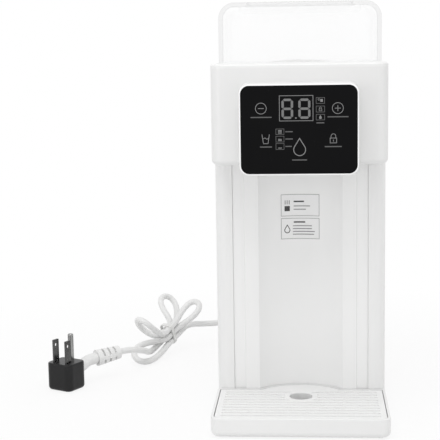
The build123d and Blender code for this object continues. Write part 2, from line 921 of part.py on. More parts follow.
with BuildPart() as pump_impeller:
    back_x = impeller_x + vane_height
    with BuildSketch(plane_at_x(back_x, pump_y, pump_axis_z)):
        Circle(impeller_radius)
    extrude(amount=impeller_thickness)
    with BuildSketch(plane_at_x(impeller_x, pump_y, pump_axis_z)):
        Circle(hub_radius)
        with PolarLocations(0, vane_count):
            Rectangle(
                impeller_radius - vane_thickness / 2,
                vane_thickness,
                align=(Align.MIN, Align.CENTER),
            )
    extrude(amount=vane_height)
    with BuildSketch(plane_at_x(back_x + impeller_thickness, pump_y, pump_axis_z)):
        Circle(shaft_radius)
    extrude(amount=shaft_length)
finish(pump_impeller, "pump_impeller")

with BuildPart() as pump_cradle:
    with BuildSketch(plane_at_x(chamber_end_x + cradle_margin, pump_y, base_top)):
        Rectangle(
            2 * (motor_radius + cradle_side),
            pump_axis_z - base_top,
            align=(Align.CENTER, Align.MIN),
        )
        with Locations((0, pump_axis_z - base_top)):
            Circle(motor_radius + running_gap, mode=Mode.SUBTRACT)
    extrude(amount=motor_length - 2 * cradle_margin)
finish(pump_cradle, "pump_cradle")

# Coupling that the tank stands in, with the pin that opens the tank's valve
tank_bottom = deck_top + fit_gap
boss_bottom = tank_bottom - boss_drop
collar_bottom = boss_bottom + collar_rise
coupling_floor_top = coupling_floor + coupling_wall

with BuildPart() as tank_coupling:
    with BuildSketch(Plane.XY.offset(coupling_floor)):
        with Locations((valve_x, valve_y)):
            Circle(coupling_outer)
    extrude(amount=deck_bottom - coupling_floor)
    with BuildSketch(Plane.XY.offset(deck_bottom - coupling_flange)):
        with Locations((valve_x, valve_y)):
            Circle(coupling_flange_radius)
    extrude(amount=coupling_flange)
    with BuildSketch(plane_at_x(valve_x, valve_y, pump_axis_z)):
        Circle(nozzle_radius)
    extrude(amount=coupling_outer + coupling_nozzle)
    with BuildSketch(Plane.XY.offset(coupling_floor_top)):
        with Locations((valve_x, valve_y)):
            Circle(coupling_bore)
    extrude(amount=deck_bottom - coupling_floor_top, mode=Mode.SUBTRACT)
    with BuildSketch(plane_at_x(valve_x, valve_y, pump_axis_z)):
        Circle(nozzle_bore)
    extrude(amount=coupling_outer + coupling_nozzle, mode=Mode.SUBTRACT)
    with BuildSketch(Plane.XY.offset(coupling_floor_top)):
        with Locations((valve_x, valve_y)):
            Circle(push_pin_radius)
    extrude(amount=collar_bottom - fit_gap - coupling_floor_top)
finish(tank_coupling, "tank_coupling")

with BuildPart() as coupling_seal:
    with BuildSketch(Plane.XY.offset(deck_bottom - ring_drop - ring_height)):
        with Locations((valve_x, valve_y)):
            Circle(coupling_bore - running_gap)
            Circle(boss_outer + fit_gap, mode=Mode.SUBTRACT)
    extrude(amount=ring_height)
finish(coupling_seal, "coupling_seal")

# Hoses: tank to pump, pump to heater, heater to spout
hose_bore = nozzle_radius + running_gap
hose_radius = hose_bore + hose_wall


def hose(points, bend):
    with BuildPart() as tube:
        with BuildLine() as route:
            FilletPolyline(*points, radius=bend)
        with BuildSketch(Plane(origin=route.line @ 0, z_dir=route.line % 0)):
            Circle(hose_radius)
            Circle(hose_bore, mode=Mode.SUBTRACT)
        sweep()
    return tube


inlet_start_x = valve_x + coupling_outer + fit_gap
inlet_end_x = pump_front_x - fit_gap

with BuildPart() as inlet_hose:
    with BuildSketch(plane_at_x(inlet_start_x, pump_y, pump_axis_z)):
        Circle(hose_radius)
        Circle(hose_bore, mode=Mode.SUBTRACT)
    extrude(amount=inlet_end_x - inlet_start_x)
finish(inlet_hose, "inlet_hose")

outlet_start_y = pump_y - chamber_radius - nozzle_length + hose_lap
pressure_turn_y = column_back + pressure_turn_share * (outlet_start_y - column_back)
heater_inlet_z = heater_bottom - cap_height - nozzle_length + hose_lap
pressure_hose = hose(
    [
        (pump_middle_x, outlet_start_y, pump_axis_z),
        (pump_middle_x, pressure_turn_y, pump_axis_z),
        (heater_x, pressure_turn_y, pump_axis_z),
        (heater_x, heater_y, pump_axis_z),
        (heater_x, heater_y, heater_inlet_z),
    ],
    hose_bend,
)
finish(pressure_hose, "pressure_hose")

heater_outlet_z = heater_top + cap_height + nozzle_length - hose_lap
spout_top = head_floor + spout_flange + spout_rise
outlet_hose = hose(
    [
        (heater_x, heater_y, heater_outlet_z),
        (heater_x, heater_y, outlet_crest),
        (0, spout_y, outlet_crest),
        (0, spout_y, spout_top - hose_lap),
    ],
    hose_bend,
)
finish(outlet_hose, "outlet_hose")

with BuildPart() as spout:
    with BuildSketch(Plane.XY.offset(head_bottom - spout_drop)):
        with Locations((0, spout_y)):
            Circle(spout_radius)
    extrude(amount=spout_drop + wall)
    with BuildSketch(Plane.XY.offset(head_floor)):
        with Locations((0, spout_y)):
            Circle(spout_flange_radius)
    extrude(amount=spout_flange)
    with BuildSketch(Plane.XY.offset(head_floor + spout_flange)):
        with Locations((0, spout_y)):
            Circle(nozzle_radius)
    extrude(amount=spout_rise)
    with BuildSketch(Plane.XY.offset(head_bottom - spout_drop)):
        with Locations((0, spout_y)):
            Circle(spout_bore)
    extrude(amount=spout_drop + wall, mode=Mode.SUBTRACT)
    with BuildSketch(Plane.XY.offset(head_floor)):
        with Locations((0, spout_y)):
            Circle(nozzle_bore)
    extrude(amount=spout_flange + spout_rise, mode=Mode.SUBTRACT)
finish(spout, "spout")

with BuildPart() as spout_seal:
    with BuildSketch(Plane.XY.offset(head_bottom - spout_seal_height)):
        with Locations((0, spout_y)):
            Circle(spout_seal_radius)
            Circle(spout_radius + running_gap, mode=Mode.SUBTRACT)
    extrude(amount=spout_seal_height)
finish(spout_seal, "spout_seal")

# Water tank: a clear box with round edges, a framed filling mouth and a valve neck
tank_half = half_width - tank_inset
tank_front = column_back + tank_gap
tank_rear = rear_face - tank_inset
tank_middle = (tank_front + tank_rear) / 2
tank_floor_top = tank_bottom + tank_wall
tank_roof = tank_top - tank_wall
hinge_y = tank_middle + lid_length / 2
hinge_z = tank_top - barrel_radius
lid_front = hinge_y - lid_length
lid_bottom = tank_top - lid_thickness
mouth_half = lid_width / 2 - lid_ledge
mouth_front = lid_front + lid_ledge
mouth_rear = hinge_y - barrel_radius - lid_gap - lid_ledge
mouth_middle = (mouth_front + mouth_rear) / 2
recess_half = lid_width / 2 + lid_gap
recess_front = lid_front - lid_gap
recess_rear = hinge_y + barrel_radius + lid_gap
frame_front = recess_front - lid_frame_width
frame_rear = recess_rear + lid_frame_width
frame_half = recess_half + lid_frame_width

with BuildPart() as water_tank:
    with BuildSketch(Plane.XY.offset(tank_bottom)) as outline:
        with Locations((0, tank_middle)):
            RectangleRounded(2 * tank_half, tank_rear - tank_front, rear_radius)
    extrude(amount=tank_top - tank_bottom)
    fillet(water_tank.faces().sort_by(Axis.Z)[-1].edges(), tank_top_radius)
    with BuildPart(mode=Mode.PRIVATE) as tank_hollow:
        with BuildSketch(Plane.XY.offset(tank_floor_top)):
            with Locations((0, tank_middle)):
                RectangleRounded(
                    2 * (tank_half - tank_wall),
                    tank_rear - tank_front - 2 * tank_wall,
                    rear_radius - tank_wall,
                )
        extrude(amount=tank_roof - tank_floor_top)
        fillet(tank_hollow.faces().sort_by(Axis.Z)[-1].edges(), tank_top_radius - tank_wall)
    add(tank_hollow.part, mode=Mode.SUBTRACT)
    with BuildSketch(Plane.XY.offset(tank_top - lid_frame_depth)):
        with Locations((0, (frame_front + frame_rear) / 2)):
            Rectangle(2 * frame_half, frame_rear - frame_front)
    extrude(amount=lid_frame_depth)
    with BuildSketch(Plane.XY.offset(lid_bottom - fit_gap)):
        with Locations((0, (recess_front + recess_rear) / 2)):
            Rectangle(2 * recess_half, recess_rear - recess_front)
    extrude(amount=lid_thickness + fit_gap, mode=Mode.SUBTRACT)
    with BuildSketch(plane_at_x(-recess_half, hinge_y, hinge_z)):
        Circle(barrel_radius + lid_gap)
    extrude(amount=2 * recess_half, mode=Mode.SUBTRACT)
    with BuildSketch(plane_at_x(-recess_half - pin_hold, hinge_y, hinge_z)):
        Circle(pin_radius + running_gap)
    extrude(amount=2 * (recess_half + pin_hold), mode=Mode.SUBTRACT)
    with BuildSketch(Plane.XY.offset(tank_top - lid_frame_depth)):
        with Locations((0, mouth_middle)):
            Rectangle(2 * mouth_half, mouth_rear - mouth_front)
    extrude(amount=lid_frame_depth, mode=Mode.SUBTRACT)
    with BuildSketch(Plane.XY.offset(tank_top - notch_depth)):
        with Locations((0, recess_front)):
            Circle(notch_radius)
        with Locations((0, recess_front)):
            Rectangle(
                2 * notch_radius,
                notch_radius + lid_frame_width,
                align=(Align.CENTER, Align.MAX),
                mode=Mode.INTERSECT,
            )
    extrude(amount=notch_depth, mode=Mode.SUBTRACT)
    with BuildSketch(Plane.XY.offset(boss_bottom)):
        with Locations((valve_x, valve_y)):
            Circle(boss_outer)
            Circle(boss_inner, mode=Mode.SUBTRACT)
    extrude(amount=boss_drop)
    with BuildSketch(Plane.XY.offset(tank_bottom)):
        with Locations((valve_x, valve_y)):
            Circle(valve_hole)
    extrude(amount=tank_wall, mode=Mode.SUBTRACT)
finish(water_tank, "water_tank")

# Filling lid: a flap that lies flush in the tank's top and turns on a steel pin
with BuildPart() as tank_lid:
    with BuildSketch(Plane.XY.offset(lid_bottom)):
        with Locations((0, lid_front)):
            Rectangle(lid_width, lid_length, align=(Align.CENTER, Align.MIN))
    extrude(amount=lid_thickness)
    with BuildSketch(plane_at_x(-lid_width / 2, hinge_y, hinge_z)):
        Circle(barrel_radius)
    extrude(amount=lid_width)
    with BuildSketch(plane_at_x(-lid_width / 2, hinge_y, hinge_z)):
        Circle(pin_radius + running_gap)
    extrude(amount=lid_width, mode=Mode.SUBTRACT)
finish(tank_lid, "tank_lid")

with BuildPart() as lid_gasket:
    with BuildSketch(Plane.XY.offset(lid_bottom - gasket_thickness)):
        with Locations((0, mouth_middle)):
            Rectangle(2 * (mouth_half - lid_gap), mouth_rear - mouth_front - 2 * lid_gap)
            Rectangle(
                2 * (mouth_half - lid_gap - gasket_width),
                mouth_rear - mouth_front - 2 * (lid_gap + gasket_width),
                mode=Mode.SUBTRACT,
            )
    extrude(amount=gasket_thickness)
finish(lid_gasket, "lid_gasket")

with BuildPart() as lid_pin:
    with BuildSketch(plane_at_x(-recess_half - pin_hold, hinge_y, hinge_z)):
        Circle(pin_radius)
    extrude(amount=2 * (recess_half + pin_hold))
finish(lid_pin, "lid_pin")

# Tank valve, shown held open by the coupling's pin
guide_bottom = boss_bottom + guide_rise
collar_top = collar_bottom + collar_thickness
plunger_bottom = tank_floor_top + valve_travel + fit_gap + seal_thickness

with BuildPart() as valve_guide:
    with BuildSketch(Plane.XY.offset(guide_bottom)):
        with Locations((valve_x, valve_y)):
            Circle(boss_inner - running_gap)
            Circle(boss_inner - running_gap - guide_rim, mode=Mode.SUBTRACT)
            Circle(guide_hub)
            Rectangle(2 * (boss_inner - guide_rim), guide_spoke)
            Rectangle(guide_spoke, 2 * (boss_inner - guide_rim))
            Circle(stem_radius + running_gap, mode=Mode.SUBTRACT)
    extrude(amount=guide_thickness)
finish(valve_guide, "valve_guide")

with BuildPart() as valve_plunger:
    with BuildSketch(Plane.XY.offset(collar_bottom)):
        with Locations((valve_x, valve_y)):
            Circle(collar_radius)
    extrude(amount=collar_thickness)
    with BuildSketch(Plane.XY.offset(collar_top)):
        with Locations((valve_x, valve_y)):
            Circle(stem_radius)
    extrude(amount=plunger_bottom - collar_top)
    with BuildSketch(Plane.XY.offset(plunger_bottom)):
        with Locations((valve_x, valve_y)):
            Circle(plunger_radius)
    extrude(amount=plunger_thickness)
finish(valve_plunger, "valve_plunger")

with BuildPart() as valve_seal:
    with BuildSketch(Plane.XY.offset(plunger_bottom - seal_thickness)):
        with Locations((valve_x, valve_y)):
            Circle(plunger_radius)
            Circle(stem_radius + running_gap, mode=Mode.SUBTRACT)
    extrude(amount=seal_thickness)
finish(valve_seal, "valve_seal")

# Valve spring: a wire coil between the plunger's collar and the guide
coil_bottom = collar_top + spring_wire
coil_rise = guide_bottom - collar_top - 2 * spring_wire
coil_quarters = 4 * spring_turns


def coil_place(quarter):
    turn = quarter * math.pi / 2
    across = Vector(math.cos(turn), math.sin(turn), 0) * spring_radius
    return Vector(valve_x, valve_y, coil_bottom + coil_rise * quarter / coil_quarters) + across


def coil_way(quarter):
    turn = quarter * math.pi / 2
    climb = coil_rise / (2 * math.pi * spring_turns * spring_radius)
    return Vector(-math.sin(turn), math.cos(turn), climb).normalized()


with BuildPart() as valve_spring:
    with BuildLine():
        for quarter in range(coil_quarters):
            arc_pair(
                coil_place(quarter),
                coil_way(quarter),
                coil_place(quarter + 1),
                coil_way(quarter + 1),
            )
    with BuildSketch(Plane(origin=coil_place(0), z_dir=coil_way(0))):
        Circle(spring_wire)
    sweep()
finish(valve_spring, "valve_spring")

# Drip tray: a shallow drawer whose back follows the scoop, with tongues that run in the base
tray_half = half_width - tray_inset
tray_top = tray_clear + tray_height
tray_back = front_face - tray_back_gap
tray_scoop_radius = scoop_radius - tray_back_gap
tongue_z = foot_height + (base_thickness - tongue_thickness) / 2
well_inset = tray_wall + tray_ledge


def tray_outline(inset, front_inset, radius):
    # The tray's plan, drawn in by the insets: a rectangle with the scoop's round at its back
    with BuildSketch(mode=Mode.PRIVATE) as plan:
        with Locations((0, scoop_center)):
            Circle(tray_scoop_radius - inset)
        with Locations((0, tray_back - inset - tray_corner)):
            Rectangle(
                body_width,
                scoop_depth + tray_corner,
                align=(Align.CENTER, Align.MIN),
                mode=Mode.INTERSECT,
            )
        with Locations((0, tray_back - inset)):
            Rectangle(
                2 * (tray_half - inset),
                tray_back - inset - tray_front - front_inset,
                align=(Align.CENTER, Align.MAX),
            )
        fillet(plan.vertices().group_by(Axis.Y)[0], radius)
    return plan.sketch


with BuildPart() as drip_tray:
    with BuildSketch(Plane.XY.offset(tray_clear)):
        add(tray_outline(0, 0, tray_corner))
    extrude(amount=tray_height)
    tray_bottom_edges = drip_tray.faces().sort_by(Axis.Z)[0].edges()
    fillet(
        tray_bottom_edges.filter_by(lambda edge: edge.center().Y < tray_back - tray_bottom_radius),
        tray_bottom_radius,
    )
    tray_rim_edges = drip_tray.faces().sort_by(Axis.Z)[-1].edges()
    fillet(
        tray_rim_edges.filter_by(lambda edge: edge.center().Y < tray_back - tray_bottom_radius),
        tray_top_edge,
    )
    with BuildSketch(Plane.XY.offset(tray_top - plate_sink - plate_thickness)):
        add(tray_outline(tray_wall, tray_wall, tray_corner - tray_wall))
    extrude(amount=plate_thickness + plate_sink, mode=Mode.SUBTRACT)
    with BuildSketch(Plane.XY.offset(tray_clear + tray_floor)):
        add(tray_outline(well_inset, well_inset, tray_corner - well_inset))
    extrude(amount=tray_height - tray_floor, mode=Mode.SUBTRACT)
    with BuildSketch(Plane.XY.offset(tongue_z)):
        for x, y in tongue_places:
            with Locations((x, tray_back - tray_wall)):
                Rectangle(
                    tongue_width,
                    tray_wall + tray_back_gap + tongue_length,
                    align=(Align.CENTER, Align.MIN),
                )
    extrude(amount=tongue_thickness)
finish(drip_tray, "drip_tray")

with BuildPart() as tray_pads:
    with BuildSketch():
        for side in (-1, 1):
            with Locations((side * (tray_half - pad_inset), tray_front + pad_inset)):
                Circle(pad_radius)
    extrude(amount=tray_clear)
finish(tray_pads, "tray_pads")

# Ribbed plate over the tray, with one drain and finger hole under the spout and a collar below it
plate_top = tray_top - plate_sink
plate_bottom = plate_top - plate_thickness
groove_half = tray_half - tray_wall - plate_side_gap - groove_margin
groove_first = tray_front + tray_wall + groove_start

with BuildPart() as drip_plate:
    with BuildSketch(Plane.XY.offset(plate_bottom)):
        add(
            tray_outline(
                tray_wall + plate_side_gap,
                tray_wall + plate_front_gap,
                tray_corner - tray_wall - plate_front_gap,
            )
        )
    extrude(amount=plate_thickness)
    with BuildSketch(Plane.XY.offset(plate_top)):
        for row in range(groove_count):
            with Locations((0, groove_first + row * groove_pitch)):
                SlotOverall(2 * groove_half, groove_width)
        with Locations((0, spout_y)):
            Circle(drain_radius + drain_ring, mode=Mode.SUBTRACT)
    extrude(amount=-groove_depth, mode=Mode.SUBTRACT)
    with BuildSketch(Plane.XY.offset(plate_bottom)):
        with Locations((0, spout_y)):
            Circle(drain_radius + collar_wall)
    extrude(amount=-collar_drop)
    with BuildSketch(Plane.XY.offset(plate_top)):
        with Locations((0, spout_y)):
            Circle(drain_radius)
    extrude(amount=-plate_thickness - collar_drop, mode=Mode.SUBTRACT)
finish(drip_plate, "drip_plate")

# Mains terminal inside the housing, and the gland that the cord leaves by
gland_inner = rear_face - wall - gland_flange
terminal_front = gland_inner - terminal_offset - terminal_depth

with BuildPart() as mains_terminal:
    with BuildSketch(Plane.XY.offset(base_top)):
        with Locations((gland_x - terminal_shift, terminal_front)):
            Rectangle(terminal_width, terminal_depth, align=(Align.CENTER, Align.MIN))
    extrude(amount=terminal_height)
finish(mains_terminal, "mains_terminal")

with BuildPart() as inner_lead:
    with BuildSketch(plane_at_y(gland_inner, gland_x, gland_z)):
        Circle(cord_radius)
    extrude(amount=terminal_offset)
finish(inner_lead, "inner_lead")

gland_end = rear_face + gland_flange + gland_length
gland_tip = Vector(gland_x, gland_end, gland_z)

with BuildPart() as cord_gland:
    with BuildSketch(plane_at_x(gland_x, 0, gland_z)):
        with BuildLine():
            Polyline(
                (gland_inner, 0),
                (gland_inner, gland_flange_radius),
                (rear_face - wall, gland_flange_radius),
                (rear_face - wall, gland_neck_radius),
                (rear_face, gland_neck_radius),
                (rear_face, gland_flange_radius),
                (rear_face + gland_flange, gland_flange_radius),
                (rear_face + gland_flange, gland_neck_radius),
                (gland_end, gland_tip_radius),
                (gland_end, 0),
                close=True,
            )
        make_face()
    revolve(axis=Axis((gland_x, 0, gland_z), (0, 1, 0)))
finish(cord_gland, "cord_gland")

# Free lead: leaves the gland backwards, turns round to the left and comes down to the hank.
# All the cord's points are measured from the gland's tip.
lead_route = [
    (0.0, 0.0, 0.0),
    (0.0, 13.0, 0.0),
    (-6.0, 26.0, -1.0),
    (-19.0, 33.5, -2.5),
    (-35.0, 33.5, -4.0),
    (-51.0, 26.0, -3.5),
]
tie_middle = gland_tip + Vector(-82.6, -7.7, -4.7)
tie_heading = math.radians(240.6)
tie_fall = 0.4
tie_along = Vector(math.cos(tie_heading), math.sin(tie_heading), -tie_fall).normalized()
tie_across = Vector(-math.sin(tie_heading), math.cos(tie_heading), 0)
tie_up = tie_along.cross(tie_across)
slot_pitch = 2 * cord_radius + strand_gap
slot_shares = [(0.5, -1), (0.5, 0), (0.5, 1), (-0.5, 0.5), (-0.5, -0.5)]
slots = [
    tie_middle + tie_across * (across * slot_pitch) + tie_up * (up * slot_pitch)
    for across, up in slot_shares
]

# The loops in order along the cord: the side of the tie, the tip, half the width, the first reach
hank_loops = [
    (1, Vector(-107.8, -50.0, -16.2), Vector(6.4, -7.5, -5.3), 14.9),
    (-1, Vector(-56.8, 11.4, 20.1), Vector(5.5, -6.1, -1.9), 20.2),
    (1, Vector(-106.2, -33.8, 14.4), Vector(4.9, -9.3, 2.5), 20.6),
    (-1, Vector(-89.9, 31.0, 22.1), Vector(-7.4, -9.0, 0.0), 22.3),
]
loop_steps = [1 / 6, 1 / 3, 1 / 2, 2 / 3, 5 / 6]


def loop_point(start, end, out, tip, half, reach, share):
    # A drop-shaped loop: it leaves the tie along out, swells by half to each side and closes
    turn = math.pi * share
    step = share * share * (3 - 2 * share)
    away = gland_tip + tip - (start + end) / 2 - out * reach
    return (
        start
        + (end - start) * step
        + away * math.sin(turn) ** 2
        + out * (reach * math.sin(turn))
        + half * (math.sin(2 * turn) * math.sin(turn))
    )


with BuildPart() as cord_hank:
    with BuildLine() as hank_route:
        hank_arcs = []
        way = tie_along
        hank_start = slots[0] - way * (tie_half_run + 2 * cord_radius)
        place = slots[0] + way * tie_half_run
        Line(hank_start, place)
        for index, (side, tip, half, reach) in enumerate(hank_loops):
            out = tie_along * side
            goal = slots[index + 1] + out * tie_half_run
            marks = [loop_point(place, goal, out, tip, half, reach, share) for share in loop_steps]
            probes = [
                loop_point(place, goal, out, tip, half, reach, share + probe_share)
                for share in loop_steps
            ]
            ways = [(probe - mark).normalized() for mark, probe in zip(marks, probes)]
            stops = [(place, out)] + list(zip(marks, ways)) + [(goal, out * -1)]
            for (here, here_way), (there, there_way) in zip(stops, stops[1:]):
                hank_arcs += arc_pair(here, here_way, there, there_way)
            place = slots[index + 1] - out * tie_half_run
            if index + 1 < len(hank_loops):
                Line(goal, place)
        hank_end = slots[-1] + tie_along * (tie_half_run + 2 * cord_radius)
        Line(goal, hank_end)
    with BuildSketch(Plane(origin=hank_start, z_dir=tie_along)):
        Circle(cord_radius)
    sweep()
finish(cord_hank, "cord_hank")

hank_wire = hank_route.wires()[0]
hank_length = hank_wire.length
sample_count = int(hank_length / cord_radius * samples_per_radius)
samples = [hank_wire @ (index / sample_count) for index in range(sample_count + 1)]
apart = int(sample_count * near_turn_share * 2 * math.pi * cord_radius / hank_length)
least_gap = min(
    (samples[first] - samples[second]).length
    for first in range(sample_count + 1)
    for second in range(first + apart, sample_count + 1)
)
print("hank length", round(hank_length, 1), "least gap to itself", round(least_gap - 2 * cord_radius, 2))
print("hank tightest arc", round(min(arc.radius for arc in hank_arcs), 1))
print("hank volume", round(cord_hank.part.volume), "of", round(math.pi * cord_radius**2 * hank_length))


def cord_tube(points, name):
    # Straight runs joined by arcs that are as large as the runs allow
    stops = [gland_tip + Vector(*point) for point in points]
    radii = []
    for before, here, after in zip(stops, stops[1:], stops[2:]):
        turn = math.radians((here - before).get_angle(after - here))
        shorter = min((here - before).length, (after - here).length)
        radii.append(arc_share * shorter / math.tan(turn / 2))
    with BuildPart() as tube:
        with BuildLine() as route:
            FilletPolyline(*stops, radius=radii)
        with BuildSketch(Plane(origin=stops[0], z_dir=stops[1] - stops[0])):
            Circle(cord_radius)
        sweep()
    length = route.wires()[0].length
    print(name, "length", round(length, 1), "radii", [round(radius) for radius in radii])
    print(name, "volume", round(tube.part.volume), "of", round(math.pi * cord_radius**2 * length))
    finish(tube, name)


lead_end = [hank_start - tie_along * lead_last_run - gland_tip, hank_start - gland_tip]
cord_tube(lead_route + lead_end, "cord_lead")

# Tie: a band round the five runs at the waist
tie_plane = Plane(origin=tie_middle - tie_along * (tie_width / 2), x_dir=tie_across, z_dir=tie_along)
tie_inner_width = slot_pitch + 2 * (cord_radius + tie_gap)
tie_inner_height = 2 * slot_pitch + 2 * (cord_radius + tie_gap)
tie_corner = cord_radius + tie_gap

with BuildPart() as cord_tie:
    with BuildSketch(tie_plane):
        RectangleRounded(
            tie_inner_width + 2 * tie_thickness,
            tie_inner_height + 2 * tie_thickness,
            tie_corner + tie_thickness,
        )
        RectangleRounded(tie_inner_width, tie_inner_height, tie_corner, mode=Mode.SUBTRACT)
    extrude(amount=tie_width)
finish(cord_tie, "cord_tie")

# Plug: stands on its back with the pins up, and the relief leaves it sideways
plug_axis_x = Vector(1, 0, 0).rotate(Axis.Z, plug_yaw)
plug_axis_y = Vector(0, 1, 0).rotate(Axis.Z, plug_yaw)
plug_middle = Vector(gland_x - plug_side, gland_end - plug_forward, 0)
plug_plane = Plane(origin=plug_middle, x_dir=plug_axis_x, z_dir=(0, 0, 1))

with BuildPart() as plug_body:
    with BuildSketch(plug_plane):
        RectangleRounded(plug_width, plug_depth, plug_corner)
    extrude(amount=plug_height)
    fillet(plug_body.faces().sort_by(Axis.Z)[0].edges(), plug_bottom_edge)
    fillet(plug_body.faces().sort_by(Axis.Z)[-1].edges(), plug_top_edge)
finish(plug_body, "plug_body")

pin_plane = plug_plane.offset(plug_height)
pin_row = -earth_offset / 2 + plug_pin_shift

with BuildPart() as plug_blades:
    for side in (-1, 1):
        with BuildSketch(pin_plane):
            with Locations((side * blade_spacing / 2, pin_row)):
                Rectangle(blade_thickness, blade_width)
        extrude(amount=blade_length)
    blade_face = Plane(
        origin=pin_plane.from_local_coords(Vector(-blade_spacing, pin_row, blade_length - blade_hole_drop)),
        x_dir=plug_axis_y,
        z_dir=plug_axis_x,
    )
    with BuildSketch(blade_face):
        Circle(blade_hole)
    extrude(amount=2 * blade_spacing, mode=Mode.SUBTRACT)
    tip_edges = plug_blades.faces().group_by(Axis.Z)[-1].edges()
    fillet(tip_edges.sort_by(SortBy.LENGTH)[:4], blade_round)
finish(plug_blades, "plug_blades")

with BuildPart() as plug_earth_pin:
    with BuildSketch(pin_plane):
        with Locations((0, pin_row + earth_offset)):
            Circle(earth_radius)
    extrude(amount=earth_length)
    fillet(plug_earth_pin.faces().sort_by(Axis.Z)[-1].edges(), earth_round)
finish(plug_earth_pin, "plug_earth_pin")

# Relief: a ribbed sleeve on the cord, joined to the plug's side by a bent neck
relief_tip = gland_tip + Vector(-116.7, -82.0, -2.8)
relief_way = Vector(-0.82, -0.57, -0.10).normalized()
relief_root = relief_tip + relief_way * relief_length
neck_corner = relief_root + relief_way * neck_reach
plug_side_gap = (neck_corner - plug_middle).dot(plug_axis_y) - plug_depth / 2
neck_start = neck_corner - plug_axis_y * plug_side_gap - Vector(0, 0, neck_drop)
relief_level = Vector(0, 0, 1).cross(relief_way).normalized()
relief_plane = Plane(origin=relief_root, x_dir=relief_level, z_dir=relief_way * -1)

with BuildPart() as plug_relief:
    with BuildLine():
        FilletPolyline(neck_start, neck_corner, relief_root, radius=neck_bend)
    with BuildSketch(Plane(origin=neck_start, z_dir=plug_axis_y)):
        Circle(neck_radius)
    sweep()
    with BuildSketch(relief_plane):
        Circle(relief_radius)
    with BuildSketch(relief_plane.offset(relief_length)):
        Circle(relief_tip_radius)
    loft()
    for ring in range(relief_slits):
        slit_start = relief_length * (ring + 1) / (relief_slits + 1) - relief_slit_width / 2
        with BuildSketch(relief_plane.offset(slit_start)):
            Circle(relief_radius + cut_over)
            Circle(relief_tip_radius - relief_slit_depth, mode=Mode.SUBTRACT)
            Rectangle(4 * relief_radius, relief_web, mode=Mode.SUBTRACT)
        extrude(amount=relief_slit_width, mode=Mode.SUBTRACT)
finish(plug_relief, "plug_relief")

# Tail: from the hank over the floor to the relief
tail_route = [
    (-98.0, -39.0, -14.0),
    (-97.5, -56.0, -8.5),
    (-99.2, -65.0, -5.7),
]
tail_start = [hank_end - gland_tip, hank_end + tie_along * tail_first_run - gland_tip]
tail_end = [relief_tip - relief_way * tail_last_run - gland_tip, relief_tip - gland_tip]
cord_tube(tail_start + tail_route + tail_end, "cord_tail")
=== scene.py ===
import math

import bmesh
import bpy
from mathutils import Matrix, Vector


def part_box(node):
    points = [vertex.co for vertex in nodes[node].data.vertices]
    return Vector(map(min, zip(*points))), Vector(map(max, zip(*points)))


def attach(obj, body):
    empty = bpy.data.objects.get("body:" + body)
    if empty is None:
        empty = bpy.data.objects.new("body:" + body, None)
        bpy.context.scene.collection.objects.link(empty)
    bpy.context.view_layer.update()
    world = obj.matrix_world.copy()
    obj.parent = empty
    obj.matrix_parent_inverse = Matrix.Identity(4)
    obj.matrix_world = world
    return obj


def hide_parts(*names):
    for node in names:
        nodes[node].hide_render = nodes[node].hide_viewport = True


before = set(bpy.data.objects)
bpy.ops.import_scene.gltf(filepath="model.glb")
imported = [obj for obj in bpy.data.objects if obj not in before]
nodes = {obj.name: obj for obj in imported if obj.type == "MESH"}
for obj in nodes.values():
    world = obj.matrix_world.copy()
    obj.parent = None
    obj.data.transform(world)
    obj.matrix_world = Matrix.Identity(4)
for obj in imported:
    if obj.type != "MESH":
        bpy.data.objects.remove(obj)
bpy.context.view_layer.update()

# Camera: stands about a metre in front of the dispenser at the height of its head, looks down a
# little and to the left, and keeps the slight roll that the photograph has.
mm = 0.001
eye = Vector((9.073, -954.398, 285.13)) * mm
pitch = math.radians(8.445)
yaw = math.radians(4.377)
roll = math.radians(-0.914)
level_ahead = Vector((-math.sin(yaw), math.cos(yaw), 0))
level_right = Vector((math.cos(yaw), math.sin(yaw), 0))
forward = level_ahead * math.cos(pitch) - Vector((0, 0, math.sin(pitch)))
upright = level_right.cross(forward)
right = level_right * math.cos(roll) + upright * math.sin(roll)
above = upright * math.cos(roll) - level_right * math.sin(roll)


def add_object(name, data):
    made = bpy.data.objects.new(name, data)
    bpy.context.scene.collection.objects.link(made)
    return made


camera_data = bpy.data.cameras.new("photo_camera")
camera_data.lens = 99.5
camera_data.sensor_width = 36
camera = add_object("photo_camera", camera_data)
camera_turn = Matrix((right, above, -forward)).transposed().to_4x4()
camera.matrix_world = Matrix.Translation(eye) @ camera_turn
bpy.context.scene.camera = camera

# Mains cord: a round white sheathed lead that leaves the gland at the back, turns forward, is
# folded into four loose loops held by a band, and runs on to the plug's relief. One spline runs
# from end to end.
gland_tip = Vector((-40.0, 134.0, 24.0))
cord_radius = 2.7
strand_pitch = 6.1
lead_last_run = 13.0
tail_first_run = 12.5
tail_last_run = 9.1
# All the cord's points are measured from the gland's tip, in millimetres
lead_points = [
    (0.0, 0.0, 0.0),
    (0.0, 13.0, 0.0),
    (-6.0, 26.0, -1.0),
    (-19.0, 33.5, -2.5),
    (-35.0, 33.5, -4.0),
    (-51.0, 26.0, -3.5),
]
tail_points = [
    (-98.0, -39.0, -14.0),
    (-97.5, -56.0, -8.5),
    (-99.2, -65.0, -5.7),
]
relief_tip = Vector((-116.7, -82.0, -2.8))
relief_way = Vector((-0.82, -0.57, -0.10)).normalized()
tie_middle = Vector((-82.6, -7.7, -4.7))
tie_heading = math.radians(240.6)
tie_slope = -0.4
tie_along = Vector((math.cos(tie_heading), math.sin(tie_heading), tie_slope)).normalized()
tie_across = Vector((-math.sin(tie_heading), math.cos(tie_heading), 0))
tie_up = tie_along.cross(tie_across)
tie_half_run = 7.2
tie_end_run = tie_half_run + 2 * cord_radius
